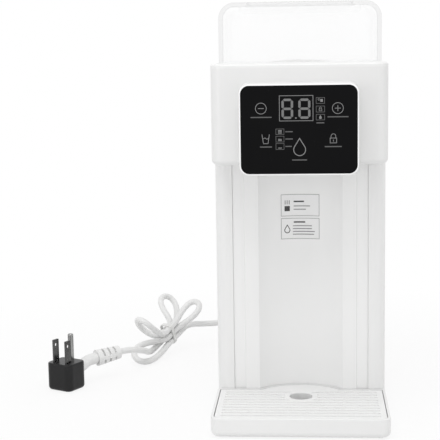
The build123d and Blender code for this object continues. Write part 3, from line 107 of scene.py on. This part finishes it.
# Each strand's place in the band, across and up, as shares of the pitch
strand_shares = [(0.5, -1), (0.5, 0), (0.5, 1), (-0.5, 0.5), (-0.5, -0.5)]
strands = [
    tie_middle + tie_across * (across * strand_pitch) + tie_up * (up * strand_pitch)
    for across, up in strand_shares
]
# The loops in order along the cord: side of the band, tip, half the width, first reach
hank_loops = [
    (1, Vector((-107.8, -50.0, -16.2)), Vector((6.4, -7.5, -5.3)), 14.9),
    (-1, Vector((-56.8, 11.4, 20.1)), Vector((5.5, -6.1, -1.9)), 20.2),
    (1, Vector((-106.2, -33.8, 14.4)), Vector((4.9, -9.3, 2.5)), 20.6),
    (-1, Vector((-89.9, 31.0, 22.1)), Vector((-7.4, -9.0, 0.0)), 22.3),
]
loop_steps = 14


def loop_point(start, end, out, tip, half, reach, share):
    # A drop-shaped loop: it leaves the band along out, swells by half to each side and closes
    turn = math.pi * share
    step = share * share * (3 - 2 * share)
    away = tip - (start + end) / 2 - out * reach
    along = start + (end - start) * step + away * math.sin(turn) ** 2
    return along + out * (reach * math.sin(turn)) + half * (math.sin(2 * turn) * math.sin(turn))


hank_start = strands[0] - tie_along * tie_end_run
hank_end = strands[-1] + tie_along * tie_end_run
cord_points = [Vector(point) for point in lead_points]
cord_points += [hank_start - tie_along * lead_last_run, hank_start, strands[0]]
for index, (side, tip, half, reach) in enumerate(hank_loops):
    out = tie_along * side
    loop_start = strands[index] + out * tie_half_run
    loop_end = strands[index + 1] + out * tie_half_run
    cord_points += [
        loop_point(loop_start, loop_end, out, tip, half, reach, step / loop_steps)
        for step in range(loop_steps + 1)
    ]
    cord_points.append(strands[index + 1])
cord_points += [hank_end, hank_end + tie_along * tail_first_run]
cord_points += [Vector(point) for point in tail_points]
cord_points += [relief_tip - relief_way * tail_last_run, relief_tip]

# The bevel is one metre, so that each point's radius is the cord's own
cord_curve = bpy.data.curves.new("mains_cord", "CURVE")
cord_curve.dimensions = "3D"
cord_curve.bevel_depth = 1.0
cord_curve.bevel_resolution = 5
cord_curve.resolution_u = 10
cord_curve.use_fill_caps = True
cord_line = cord_curve.splines.new("NURBS")
cord_line.points.add(len(cord_points) - 1)
for point, place in zip(cord_line.points, cord_points):
    point.co = ((gland_tip + place) * mm).to_4d()
    point.radius = cord_radius * mm
cord_line.order_u = 3
cord_line.use_endpoint_u = True
mains_cord = add_object("mains_cord", cord_curve)
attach(mains_cord, "cabinet")
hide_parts("cord_lead", "cord_hank", "cord_tail")


def wired(tree, kind, inputs, **settings):
    # A new node, with its inputs linked to other nodes' outputs or set to plain values
    node = tree.nodes.new(kind)
    for name, value in settings.items():
        setattr(node, name, value)
    for key, value in inputs.items():
        if isinstance(value, bpy.types.NodeSocket):
            tree.links.new(value, node.inputs[key])
        else:
            node.inputs[key].default_value = value
    return node


# Fine grain of a moulded surface, shared by all plastics and rubbers: a height for the bump and a
# slow drift in tone
moulding_grain = bpy.data.node_groups.new("moulding_grain", "ShaderNodeTree")
for socket_name, socket_side, socket_type in (
    ("Place", "INPUT", "NodeSocketVector"),
    ("Grain per metre", "INPUT", "NodeSocketFloat"),
    ("Height", "OUTPUT", "NodeSocketFloat"),
    ("Drift", "OUTPUT", "NodeSocketFloat"),
):
    moulding_grain.interface.new_socket(socket_name, in_out=socket_side, socket_type=socket_type)
grain_in = moulding_grain.nodes.new("NodeGroupInput").outputs
grain_fine = wired(
    moulding_grain,
    "ShaderNodeTexNoise",
    {"Vector": grain_in["Place"], "Scale": grain_in["Grain per metre"], "Detail": 2.0},
)
grain_slow = wired(
    moulding_grain,
    "ShaderNodeTexNoise",
    {"Vector": grain_in["Place"], "Scale": 21.0, "Detail": 3.0},
)
wired(
    moulding_grain,
    "NodeGroupOutput",
    {"Height": grain_fine.outputs["Fac"], "Drift": grain_slow.outputs["Fac"]},
)


def new_material(name):
    material = bpy.data.materials.new(name)
    material.use_nodes = True
    return material, material.node_tree, material.node_tree.nodes["Principled BSDF"]


def mapped(tree, value, start=0.0, end=1.0, low=0.0, high=1.0):
    # A value carried from one span to another, and held at the ends
    inputs = {"Value": value, "From Min": start, "From Max": end, "To Min": low, "To Max": high}
    return wired(tree, "ShaderNodeMapRange", inputs).outputs["Result"]


def drifting(tree, shader, share, colours, gloss):
    # Colour and roughness that drift over the surface between two values each
    pale, deep = colours
    smooth, rough = gloss
    inputs = {"Factor": share, "A": (*pale, 1), "B": (*deep, 1)}
    colour = wired(tree, "ShaderNodeMix", inputs, data_type="RGBA")
    tree.links.new(colour.outputs["Result"], shader.inputs["Base Color"])
    tree.links.new(mapped(tree, share, low=smooth, high=rough), shader.inputs["Roughness"])


def moulded(name, colours, gloss, grain, bump_depth):
    # A moulded or rubbery finish with a fine grain
    material, tree, shader = new_material(name)
    place = tree.nodes.new("ShaderNodeTexCoord").outputs["Object"]
    inputs = {"Place": place, "Grain per metre": grain}
    grained = wired(tree, "ShaderNodeGroup", inputs, node_tree=moulding_grain).outputs
    drifting(tree, shader, grained["Drift"], colours, gloss)
    bump_inputs = {"Height": grained["Height"], "Strength": 0.4, "Distance": bump_depth}
    bump = wired(tree, "ShaderNodeBump", bump_inputs)
    tree.links.new(bump.outputs["Normal"], shader.inputs["Normal"])
    return material


def dress(material, *names):
    for name in names:
        nodes[name].data.materials.clear()
        nodes[name].data.materials.append(material)


cord_sheath = moulded(
    "cord_sheath",
    colours=((0.81, 0.81, 0.805), (0.77, 0.77, 0.765)),
    gloss=(0.38, 0.5),
    grain=900.0,
    bump_depth=0.02 * mm,
)
mains_cord.data.materials.append(cord_sheath)
dress(cord_sheath, "cord_gland", "inner_lead", "plug_relief")

# Band round the hank: a soft white strip with a cloth-like face, closed on itself round five
# strands and held only by its own grip.
tie_strip = moulded(
    "tie_strip",
    colours=((0.80, 0.80, 0.79), (0.72, 0.72, 0.71)),
    gloss=(0.6, 0.75),
    grain=2600.0,
    bump_depth=0.06 * mm,
)
dress(tie_strip, "cord_tie")

# Plug: a black moulded body that stands on its back, with two blades painted dark, a painted
# reflection of dark surroundings on their plating, and a round, brighter earth pin moulded into it.
plug_black = moulded(
    "plug_black",
    colours=((0.011, 0.011, 0.0115), (0.02, 0.02, 0.0205)),
    gloss=(0.22, 0.36),
    grain=700.0,
    bump_depth=0.04 * mm,
)
dress(plug_black, "plug_body")


def mirror_level(material, level):
    # How strongly a smooth surface mirrors its surroundings
    material.node_tree.nodes["Principled BSDF"].inputs["Specular IOR Level"].default_value = level


def drawn_metal(name, colours, gloss, grain, stretch):
    # Bare metal with fine lines along one direction, from rolling or drawing
    material, tree, shader = new_material(name)
    shader.inputs["Metallic"].default_value = 1.0
    place = tree.nodes.new("ShaderNodeTexCoord").outputs["Object"]
    lay = wired(tree, "ShaderNodeMapping", {"Vector": place, "Scale": stretch})
    line_inputs = {"Vector": lay.outputs["Vector"], "Scale": grain, "Detail": 4.0}
    lines = wired(tree, "ShaderNodeTexNoise", line_inputs)
    drifting(tree, shader, lines.outputs["Fac"], colours, gloss)
    return material


mirror_level(plug_black, 0.2)
pin_stretch = (1, 1, 0.08)
# Painted reflection: the blades' metal is made nearly black to show dark surroundings mirrored in
# it
blade_dark_reflection = drawn_metal(
    "blade_dark_reflection",
    colours=((0.14, 0.14, 0.138), (0.06, 0.06, 0.06)),
    gloss=(0.12, 0.3),
    grain=500.0,
    stretch=pin_stretch,
)
pin_polish = drawn_metal(
    "pin_polish",
    colours=((0.4, 0.4, 0.395), (0.26, 0.26, 0.258)),
    gloss=(0.1, 0.22),
    grain=500.0,
    stretch=pin_stretch,
)
dress(blade_dark_reflection, "plug_blades")
dress(pin_polish, "plug_earth_pin")

# Studio: a pale floor that keeps the object's shadow and fades into a white surround, and three
# soft lamps: a strong one on the left in front, a weaker one on the right, and one above.
floor_half = 4.0
floor_drop = 0.3 * mm
floor_mesh = bpy.data.meshes.new("studio_floor")
floor_form = bmesh.new()
bmesh.ops.create_grid(floor_form, x_segments=1, y_segments=1, size=floor_half)
bmesh.ops.translate(floor_form, verts=floor_form.verts, vec=(0, 0, -floor_drop))
floor_form.to_mesh(floor_mesh)
floor_form.free()
studio_floor = add_object("studio_floor", floor_mesh)


def worked(tree, kind, first, second):
    # One step of arithmetic
    return wired(tree, "ShaderNodeMath", {0: first, 1: second}, operation=kind).outputs["Value"]


def shared(tree, share, first, second):
    # Two shaders, the second with that share
    return wired(tree, "ShaderNodeMixShader", {0: share, 1: first, 2: second}).outputs["Shader"]


def seen_directly(tree):
    # One where a ray comes from the camera or by way of a mirror or glass, else nought
    path = tree.nodes.new("ShaderNodeLightPath").outputs
    mirrored = worked(tree, "MAXIMUM", path["Is Camera Ray"], path["Is Glossy Ray"])
    return worked(tree, "MAXIMUM", mirrored, path["Is Transmission Ray"])


floor_white, floor_tree, floor_shader = new_material("floor_white")
floor_shader.inputs["Base Color"].default_value = (0.86, 0.86, 0.86, 1)
floor_shader.inputs["Roughness"].default_value = 0.9
floor_shader.inputs["Specular IOR Level"].default_value = 0.0
floor_place = floor_tree.nodes.new("ShaderNodeTexCoord").outputs["Object"]
floor_away = wired(floor_tree, "ShaderNodeVectorMath", {0: floor_place}, operation="LENGTH")
floor_fade = mapped(floor_tree, floor_away.outputs["Value"], start=0.2, end=0.45, low=0.86)
floor_glow = floor_tree.nodes.new("ShaderNodeEmission").outputs["Emission"]
floor_share = worked(floor_tree, "MULTIPLY", seen_directly(floor_tree), floor_fade)
floor_look = shared(floor_tree, floor_share, floor_shader.outputs["BSDF"], floor_glow)
floor_tree.links.new(floor_look, floor_tree.nodes["Material Output"].inputs["Surface"])
floor_mesh.materials.append(floor_white)

surround = bpy.data.worlds.new("studio_surround")
bpy.context.scene.world = surround
surround.use_nodes = True
sky_tree = surround.node_tree
sky_tree.nodes.clear()
sky_white = (1, 1, 1, 1)
ambient = wired(sky_tree, "ShaderNodeBackground", {"Color": sky_white, "Strength": 0.78})
backdrop = wired(sky_tree, "ShaderNodeBackground", {"Color": sky_white})
sky_look = shared(
    sky_tree,
    seen_directly(sky_tree),
    ambient.outputs["Background"],
    backdrop.outputs["Background"],
)
wired(sky_tree, "ShaderNodeOutputWorld", {"Surface": sky_look})
bpy.context.scene.view_settings.view_transform = "Standard"

lamp_target = Vector((0, 0, 0.14))
for lamp_name, lamp_place, lamp_size, lamp_power in (
    ("key_lamp", (-1.3, -1.4, 0.3), 0.9, 3.8),
    ("fill_lamp", (1.7, -1.0, 0.3), 0.9, 2.1),
    ("top_lamp", (-0.1, -0.6, 1.5), 1.0, 7.5),
):
    lamp_data = bpy.data.lights.new(lamp_name, "AREA")
    lamp_data.size = lamp_size
    lamp_data.energy = lamp_power
    lamp = add_object(lamp_name, lamp_data)
    lamp.location = lamp_place
    lamp.rotation_mode = "QUATERNION"
    lamp.rotation_quaternion = (lamp_target - Vector(lamp_place)).to_track_quat("-Z", "Y")

# Base: a white moulded plate on four rubber feet, screwed up into the column and the rear housing
# with six steel screws.
shell_pale = (0.83, 0.83, 0.826)
shell_deep = (0.8, 0.8, 0.797)
screw_stretch = (1, 1, 0.1)


def white_moulding(name, pale, deep):
    # The satin finish that all white mouldings share
    return moulded(name, (pale, deep), gloss=(0.28, 0.36), grain=1300.0, bump_depth=0.008 * mm)


shell_white = white_moulding("shell_white", shell_pale, shell_deep)
foot_rubber = moulded(
    "foot_rubber",
    colours=((0.03, 0.03, 0.03), (0.045, 0.045, 0.044)),
    gloss=(0.7, 0.85),
    grain=1800.0,
    bump_depth=0.1 * mm,
)
bright_steel = drawn_metal(
    "bright_steel",
    colours=((0.66, 0.67, 0.68), (0.5, 0.5, 0.51)),
    gloss=(0.24, 0.4),
    grain=420.0,
    stretch=screw_stretch,
)
dress(shell_white, "base_plate")
dress(foot_rubber, "rubber_feet")
dress(bright_steel, "base_screws")

# Body shells: rear housing, column with its scooped front panel, head, top cover and nose, all
# white satin mouldings held by screws. The cover's screws are painted like the cover. The front
# panel takes a paler copy of the white, painted light that lifts its shaded scoop, and the head a
# darker copy, painted shade that tones down its lit front.
# Painted light and painted shade: the same white made paler for the front panel and darker for the
# head
painted_lit_white = white_moulding("painted_lit_white", (0.86, 0.86, 0.856), (0.83, 0.83, 0.827))
painted_shaded_white = white_moulding("painted_shaded_white", (0.8, 0.8, 0.796), (0.77, 0.77, 0.767))
dress(shell_white, "rear_housing", "column_shell", "top_cover", "cover_screws")
dress(painted_lit_white, "front_panel")
dress(painted_shaded_white, "head_shell")
dress(bright_steel, "head_screws", "nose_screws")
# The nose's front edge round the glass is painted near white, a painted highlight where its rim
# catches the light
rim_back = -84.6 * mm
rim_front = -85.0 * mm
nose_white = white_moulding("nose_white", shell_pale, shell_deep)
nose_tree = nose_white.node_tree
nose_colour = nose_tree.nodes["Principled BSDF"].inputs["Base Color"]
nose_place = nose_tree.nodes.new("ShaderNodeTexCoord").outputs["Object"]
nose_ways = wired(nose_tree, "ShaderNodeSeparateXYZ", {"Vector": nose_place}).outputs
rim_highlight_inputs = {
    "Factor": mapped(nose_tree, nose_ways["Y"], start=rim_back, end=rim_front),
    "A": nose_colour.links[0].from_socket,
    "B": (0.96, 0.96, 0.96, 1),
}
# Painted highlight: the nose's colour turns near white over its last 0.4 mm towards the glass
rim_painted_highlight = wired(nose_tree, "ShaderNodeMix", rim_highlight_inputs, data_type="RGBA")
nose_tree.links.new(rim_painted_highlight.outputs["Result"], nose_colour)
dress(nose_white, "nose_housing")

# Label on the scoop: a white vinyl sheet stuck to the curved wall under the nose, printed with two
# thin frames, each with a plain sign and grey bars.
scoop_radius = 42.37
scoop_middle = -62.77
label_half_width = 16
label_lift = 0.04
print_lift = 0.07
frame_line = 0.35
steam_line = 0.5
drop_line = 0.6
bar_half = 0.35


def flat_face(form, corners):
    # One flat face from its corners, given as places across and up, in millimetres
    return form.faces.new([form.verts.new((across, up, 0)) for across, up in corners])


def flat_bar(form, left, end, low, high):
    return flat_face(form, [(left, low), (end, low), (end, high), (left, high)])


def flat_stroke(form, start, end, width):
    # A straight line of that width from start to end
    start, end = Vector(start), Vector(end)
    along = (end - start).normalized()
    aside = Vector((-along.y, along.x)) * (width / 2)
    return flat_face(form, [start - aside, end - aside, end + aside, start + aside])


def flat_drop(form, left, end, low, high, steps=24):
    # A drop: an arc below, and straight sides that run from it to the tip
    radius = (end - left) / 2
    middle = (left + end) / 2
    centre = low + radius
    lean = math.asin(radius / (high - centre))
    sweep = math.pi + 2 * lean
    turns = [math.pi - lean + sweep * step / steps for step in range(steps + 1)]
    arc = [(middle + radius * math.cos(t), centre + radius * math.sin(t)) for t in turns]
    return flat_face(form, arc + [(middle, high)])


def only_line(form, face, width):
    # Keeps only a line of that width along the inside of the face's edge
    face.normal_update()
    bmesh.ops.inset_region(
        form, faces=[face], thickness=width, use_boundary=True, use_even_offset=True
    )
    bmesh.ops.delete(form, geom=[face], context="FACES_ONLY")


def add_print(form, name, material):
    # A flat print as a piece of its own on the cabinet
    mesh = bpy.data.meshes.new(name)
    form.to_mesh(mesh)
    form.free()
    mesh.materials.append(material)
    piece = add_object(name, mesh)
    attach(piece, "cabinet")


def lay_on_scoop(form, lift, name, material):
    # Cuts flat shapes into strips a millimetre wide and bends them round the scoop's wall
    for step in range(-label_half_width, label_half_width + 1):
        geometry = form.verts[:] + form.edges[:] + form.faces[:]
        bmesh.ops.bisect_plane(form, geom=geometry, plane_co=(step, 0, 0), plane_no=(1, 0, 0))
    radius = scoop_radius - lift
    for vert in form.verts:
        turn = vert.co.x / scoop_radius
        place = (radius * math.sin(turn), scoop_middle + radius * math.cos(turn), vert.co.y)
        vert.co = Vector(place) * mm
    add_print(form, name, material)


def grey(tone):
    return (tone, tone, tone)


def ink(name, pale, deep, gloss, grain=900.0):
    # A thin smooth print or film
    return moulded(name, (grey(pale), grey(deep)), gloss, grain, bump_depth=0.004 * mm)


label_vinyl = ink("label_vinyl", 0.84, 0.8, gloss=(0.4, 0.5), grain=600.0)
label_ink = ink("label_ink", 0.03, 0.05, gloss=(0.5, 0.6))
label_grey = ink("label_grey", 0.2, 0.26, gloss=(0.5, 0.6))
label_form = bmesh.new()
flat_bar(label_form, -15.5, 15.3, 130.8, 166.3)
lay_on_scoop(label_form, label_lift, "scoop_label", label_vinyl)
# Signs: a cup with steam and a drop, and a heavier bar at the head of each frame
ink_form = bmesh.new()
flat_bar(ink_form, -12.3, -8.1, 152.9, 156.9)
for across in (-11.8, -10.2, -8.6):
    flat_stroke(ink_form, (across, 158.2), (across, 161.4), steam_line)
only_line(ink_form, flat_drop(ink_form, -12.6, -7.8, 135.6, 142.6), drop_line)
flat_bar(ink_form, -5.1, 2.9, 159.8, 160.9)
flat_bar(ink_form, -5.1, 3.8, 143.7, 144.8)
lay_on_scoop(ink_form, print_lift, "label_signs", label_ink)
# Frames and bars
grey_form = bmesh.new()
for low, high in ((149.0, 166.0), (131.1, 147.4)):
    only_line(grey_form, flat_bar(grey_form, -15.2, 15.0, low, high), frame_line)
for left, end, up in (
    (-5.1, 7.6, 156.8),
    (-5.1, 4.3, 154.2),
    (-5.8, 9.0, 141.3),
    (-5.8, 9.0, 139.1),
    (-5.8, 11.3, 136.9),
    (-5.8, 10.7, 134.7),
):
    flat_bar(grey_form, left, end, up - bar_half, up + bar_half)
lay_on_scoop(grey_form, print_lift, "label_bars", label_grey)

# Touch panel: a black glass plate set in the nose's rim. The keys' signs are printed on its face in
# pale ink, and the two-digit display shows through its window.
panel_glass = moulded(
    "panel_glass",
    colours=((0.0035, 0.0035, 0.0038), (0.005, 0.005, 0.0055)),
    gloss=(0.1, 0.2),
    grain=300.0,
    bump_depth=0.004 * mm,
)
mirror_level(panel_glass, 0.06)
dress(panel_glass, "touch_panel")
panel_face = -85.3
panel_lift = 0.03
sign_line = 0.42
small_line = 0.3
box_line = 0.35
sign_half = 0.22
key_radius = 4.1
key_arm = 2.1
level_first = 0.9
level_height = 0.55
level_step = 0.95
caption_half = 0.4


def flat_disc(form, middle, radius, steps=32):
    turns = [2 * math.pi * step / steps for step in range(steps)]
    rounds = [(middle[0] + radius * math.cos(t), middle[1] + radius * math.sin(t)) for t in turns]
    return flat_face(form, rounds)


def lay_on_panel(form, name, material):
    # Turns flat shapes upright and lays them on the front of the glass
    upright_turn = Matrix.Rotation(math.pi / 2, 4, "X")
    front = Matrix.Translation((0, (panel_face - panel_lift) * mm, 0))
    bmesh.ops.transform(form, matrix=front @ upright_turn @ Matrix.Scale(mm, 4), verts=form.verts)
    add_print(form, name, material)


def padlock(form, left, end, low, high, line):
    # The outlined body, and a bow of short strokes over it
    body_share = 0.58
    bow_share = 0.34
    bow_steps = 8
    body_high = low + (high - low) * body_share
    only_line(form, flat_bar(form, left, end, low, body_high), line)
    middle = (left + end) / 2
    radius = (end - left) * bow_share
    top = high - radius
    turns = [step * math.pi / bow_steps for step in range(bow_steps + 1)]
    bow = [(middle - radius, body_high)]
    bow += [(middle - radius * math.cos(t), top + radius * math.sin(t)) for t in turns]
    bow += [(middle + radius, body_high)]
    for start, finish in zip(bow, bow[1:]):
        flat_stroke(form, start, finish, line)


sign_form = bmesh.new()
caption_form = bmesh.new()
# Minus and plus keys
minus_key = (-27.0, 235.9)
plus_key = (27.7, 235.6)
for across, up in (minus_key, plus_key):
    only_line(sign_form, flat_disc(sign_form, (across, up), key_radius), sign_line)
    flat_bar(sign_form, across - key_arm, across + key_arm, up - sign_half, up + sign_half)
across, up = plus_key
flat_bar(sign_form, across - sign_half, across + sign_half, up - key_arm, up - sign_half)
flat_bar(sign_form, across - sign_half, across + sign_half, up + sign_half, up + key_arm)
# Window of the display, and the three lamps beside it: degree, lock and water
only_line(sign_form, flat_bar(sign_form, -14.0, 10.3, 226.7, 245.0), sign_line)
for low, high in ((238.9, 243.4), (232.8, 237.4), (227.2, 231.5)):
    only_line(caption_form, flat_bar(caption_form, 12.2, 18.5, low, high), box_line)
only_line(sign_form, flat_disc(sign_form, (14.3, 241.9), 0.75), small_line)
flat_bar(sign_form, 15.3, 17.1, 240.2, 242.2)
padlock(sign_form, 14.3, 16.5, 233.7, 236.6, small_line)
flat_drop(sign_form, 14.4, 16.3, 228.0, 230.9)
# Cup key: slanted sides, a bottom and a level of water
for start, end in (
    ((-26.4, 217.4), (-25.4, 210.8)),
    ((-25.6, 210.8), (-21.9, 210.8)),
    ((-22.1, 210.8), (-21.1, 217.4)),
    ((-25.6, 214.2), (-24.2, 214.9)),
    ((-24.2, 214.9), (-22.9, 213.9)),
    ((-22.9, 213.9), (-21.8, 214.5)),
):
    flat_stroke(sign_form, start, end, sign_line)
# Volume keys: three, two and one bars in a box
for bars, low, high in ((3, 217.1, 221.4), (2, 211.7, 216.2), (1, 206.4, 211.0)):
    only_line(caption_form, flat_bar(caption_form, -16.6, -10.5, low, high), box_line)
    for bar in range(bars):
        bar_low = low + level_first + bar * level_step
        flat_bar(sign_form, -14.9, -12.2, bar_low, bar_low + level_height)
# Dispensing key, and lock key with its keyhole
only_line(sign_form, flat_drop(sign_form, -4.1, 5.0, 201.7, 214.9), drop_line)
padlock(sign_form, 22.0, 27.0, 210.7, 217.4, sign_line)
flat_bar(sign_form, 24.28, 24.72, 211.9, 213.3)
lay_on_panel(sign_form, "panel_signs", ink("panel_ink", 0.23, 0.19, gloss=(0.4, 0.5)))
# Dimmer bars beside and under the keys
for left, end, up in (
    (-34.4, -19.4, 229.6),
    (20.4, 35.2, 229.5),
    (12.5, 18.1, 225.3),
    (-27.9, -19.3, 208.4),
    (-5.0, 5.7, 198.9),
    (18.3, 30.4, 208.3),
    (-9.7, -4.4, 219.2),
    (-9.7, -4.4, 214.0),
    (-9.7, -5.2, 208.7),
):
    flat_bar(caption_form, left, end, up - caption_half, up + caption_half)
lay_on_panel(caption_form, "panel_captions", ink("caption_ink", 0.1, 0.08, gloss=(0.4, 0.5)))
# Two digits of seven segments each, all lit, and the point between them
digit_low = 228.3
digit_high = 242.7
segment_half = 0.85
segment_gap = 0.25
digit_form = bmesh.new()


def segment(start, end):
    # One bar with pointed ends
    start, end = Vector(start), Vector(end)
    along = (end - start).normalized() * segment_half
    aside = Vector((-along.y, along.x))
    lower = [start + along - aside, end - along - aside]
    upper = [end - along + aside, start + along + aside]
    flat_face(digit_form, [start, *lower, end, *upper])


for left, end in ((-12.3, -4.0), (-0.3, 8.3)):
    low_line = digit_low + segment_half
    high_line = digit_high - segment_half
    middle_line = (low_line + high_line) / 2
    left_line = left + segment_half
    end_line = end - segment_half
    for up in (low_line, middle_line, high_line):
        segment((left_line + segment_gap, up), (end_line - segment_gap, up))
    for across in (left_line, end_line):
        segment((across, low_line + segment_gap), (across, middle_line - segment_gap))
        segment((across, middle_line + segment_gap), (across, high_line - segment_gap))
flat_disc(digit_form, (-2.1, 228.9), 0.6, steps=16)
digit_light = ink("digit_light", 0.19, 0.14, gloss=(0.3, 0.4), grain=1100.0)
lay_on_panel(digit_form, "display_digits", digit_light)

# Boards: green glass-fibre plates screwed to posts, dark moulded parts soldered on, and rubber
# touch pads between the front board and the glass.
board_green = moulded(
    "board_green",
    colours=((0.02, 0.14, 0.05), (0.015, 0.1, 0.035)),
    gloss=(0.35, 0.5),
    grain=1500.0,
    bump_depth=0.05 * mm,
)
part_black = moulded(
    "part_black",
    colours=((0.03, 0.03, 0.032), (0.045, 0.045, 0.046)),
    gloss=(0.4, 0.55),
    grain=1500.0,
    bump_depth=0.06 * mm,
)
dress(board_green, "display_board", "power_board")
dress(part_black, "board_components", "led_display", "thermal_cutoff")
dress(foot_rubber, "touch_pads")
dress(bright_steel, "board_screws")

# Water path: pump in its cradle, steel heater tube with moulded caps, silicone hoses, the coupling
# that the tank's valve sits in, and the spout; the mains terminal is moulded like the pump.
grey_moulding = moulded(
    "grey_moulding",
    colours=((0.30, 0.31, 0.32), (0.25, 0.26, 0.27)),
    gloss=(0.4, 0.55),
    grain=1500.0,
    bump_depth=0.06 * mm,
)
hose_silicone = moulded(
    "hose_silicone",
    colours=((0.72, 0.73, 0.72), (0.65, 0.66, 0.65)),
    gloss=(0.4, 0.55),
    grain=700.0,
    bump_depth=0.05 * mm,
)
sensor_brass = drawn_metal(
    "sensor_brass",
    colours=((0.72, 0.52, 0.22), (0.55, 0.38, 0.15)),
    gloss=(0.25, 0.42),
    grain=420.0,
    stretch=screw_stretch,
)
dress(grey_moulding, "heater_caps", "pump_housing", "pump_cradle", "pump_impeller", "tank_coupling")
dress(grey_moulding, "spout", "mains_terminal")
dress(bright_steel, "heater_tube", "heater_clamps", "pump_motor")
dress(hose_silicone, "inlet_hose", "pressure_hose", "outlet_hose", "spout_seal")
dress(foot_rubber, "coupling_seal")
dress(sensor_brass, "temperature_sensor")

# Water tank: a clear moulded box with round edges, a flap in its top and a spring valve in its
# floor. Its walls hardly show from the front and turn pale grey where they are seen edge on; a
# ray that has gone through many of them ends in a painted glow, pale light that the tank gives out.
tank_edge_width = 4.5 * mm
tank_edge_blur = 0.3 * mm
tank_corner = 14.0 * mm
tank_skin_start = 2.0 * mm
tank_skin_full = 1.5 * mm
tank_inner_share = 0.1
tank_gloss_share = 0.07
tank_glow_layers = 5.5
tank_low, tank_high = (Vector(corner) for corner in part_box("water_tank"))
tank_clear, tank_tree, tank_shader = new_material("tank_clear")
tank_shader.inputs["Base Color"].default_value = (0.96, 0.965, 0.97, 1)
tank_place = tank_tree.nodes.new("ShaderNodeTexCoord").outputs["Object"]
tank_drift = wired(tank_tree, "ShaderNodeTexNoise", {"Vector": tank_place, "Scale": 30.0})
tank_gloss = mapped(tank_tree, tank_drift.outputs["Fac"], low=0.08, high=0.2)
tank_tree.links.new(tank_gloss, tank_shader.inputs["Roughness"])


def tank_vector(kind, first, second=(0, 0, 0)):
    # One step of vector arithmetic with a fixed second vector
    step = wired(tank_tree, "ShaderNodeVectorMath", {0: first, 1: second}, operation=kind)
    return step.outputs["Value" if kind == "LENGTH" else "Vector"]


# The outer skin, told from the inner walls by its distance from the box on which the corners turn
tank_half = (tank_high - tank_low) / 2
tank_evenly = Vector((1, 1, 1))
tank_centred = tank_vector("SUBTRACT", tank_place, (tank_low + tank_high) / 2)
tank_reach = tank_vector("ABSOLUTE", tank_centred)
tank_past = tank_vector("SUBTRACT", tank_reach, tank_half - tank_evenly * tank_corner)
tank_round = tank_vector("LENGTH", tank_vector("MAXIMUM", tank_past))
tank_skin = mapped(
    tank_tree,
    tank_round,
    start=tank_corner - tank_skin_start,
    end=tank_corner - tank_skin_full,
    low=tank_inner_share,
)
# The bands along its edges lie within their width of two sides at once
tank_near = tank_vector("SUBTRACT", tank_reach, tank_half - tank_evenly * tank_edge_width)
tank_ways = wired(tank_tree, "ShaderNodeSeparateXYZ", {"Vector": tank_near}).outputs
tank_more = worked(tank_tree, "MAXIMUM", tank_ways["X"], tank_ways["Y"])
tank_less = worked(tank_tree, "MINIMUM", tank_ways["X"], tank_ways["Y"])
tank_higher = worked(tank_tree, "MINIMUM", tank_more, tank_ways["Z"])
tank_second = worked(tank_tree, "MAXIMUM", tank_less, tank_higher)
tank_band = mapped(tank_tree, tank_second, end=tank_edge_blur)
# Seen edge on from outside, the skin takes some of the light
tank_edge = wired(tank_tree, "ShaderNodeLayerWeight", {"Blend": 0.5})
tank_turned = mapped(tank_tree, tank_edge.outputs["Facing"], start=0.3, end=0.32)
tank_side = tank_tree.nodes.new("ShaderNodeNewGeometry")
tank_outward = mapped(tank_tree, tank_side.outputs["Backfacing"], low=1.0, high=0.0)
tank_grazed = worked(tank_tree, "MULTIPLY", tank_turned, tank_skin)
tank_edging = worked(tank_tree, "MAXIMUM", tank_grazed, tank_band)
tank_amount = worked(tank_tree, "MULTIPLY", tank_edging, tank_outward)
tank_tint = mapped(tank_tree, tank_amount, low=0.998, high=0.88)
tank_through = wired(tank_tree, "ShaderNodeBsdfTransparent", {"Color": tank_tint})
tank_face = shared(
    tank_tree,
    tank_gloss_share,
    tank_through.outputs["BSDF"],
    tank_shader.outputs["BSDF"],
)
# Painted glow: past that many walls the tank gives out pale light of its own instead of what lies
# behind
tank_layers = tank_tree.nodes.new("ShaderNodeLightPath").outputs["Transparent Depth"]
tank_deep = worked(tank_tree, "GREATER_THAN", tank_layers, tank_glow_layers)
tank_painted_glow = wired(tank_tree, "ShaderNodeEmission", {"Color": (0.95, 0.95, 0.95, 1)})
tank_look = shared(tank_tree, tank_deep, tank_face, tank_painted_glow.outputs["Emission"])
tank_tree.links.new(tank_look, tank_tree.nodes["Material Output"].inputs["Surface"])
dress(tank_clear, "water_tank", "tank_lid", "lid_pin", "lid_gasket")
dress(grey_moulding, "valve_guide", "valve_plunger")
dress(foot_rubber, "valve_seal")
dress(bright_steel, "valve_spring")

# Drip tray: a white moulded tub on two rubber pads that hooks into the base, and a loose ribbed
# plate in its top with a hole for the drips.
dress(shell_white, "drip_tray")
# The plate takes the paler copy of the white: painted light on the deck, which the head shades
dress(painted_lit_white, "drip_plate")
dress(foot_rubber, "tray_pads")
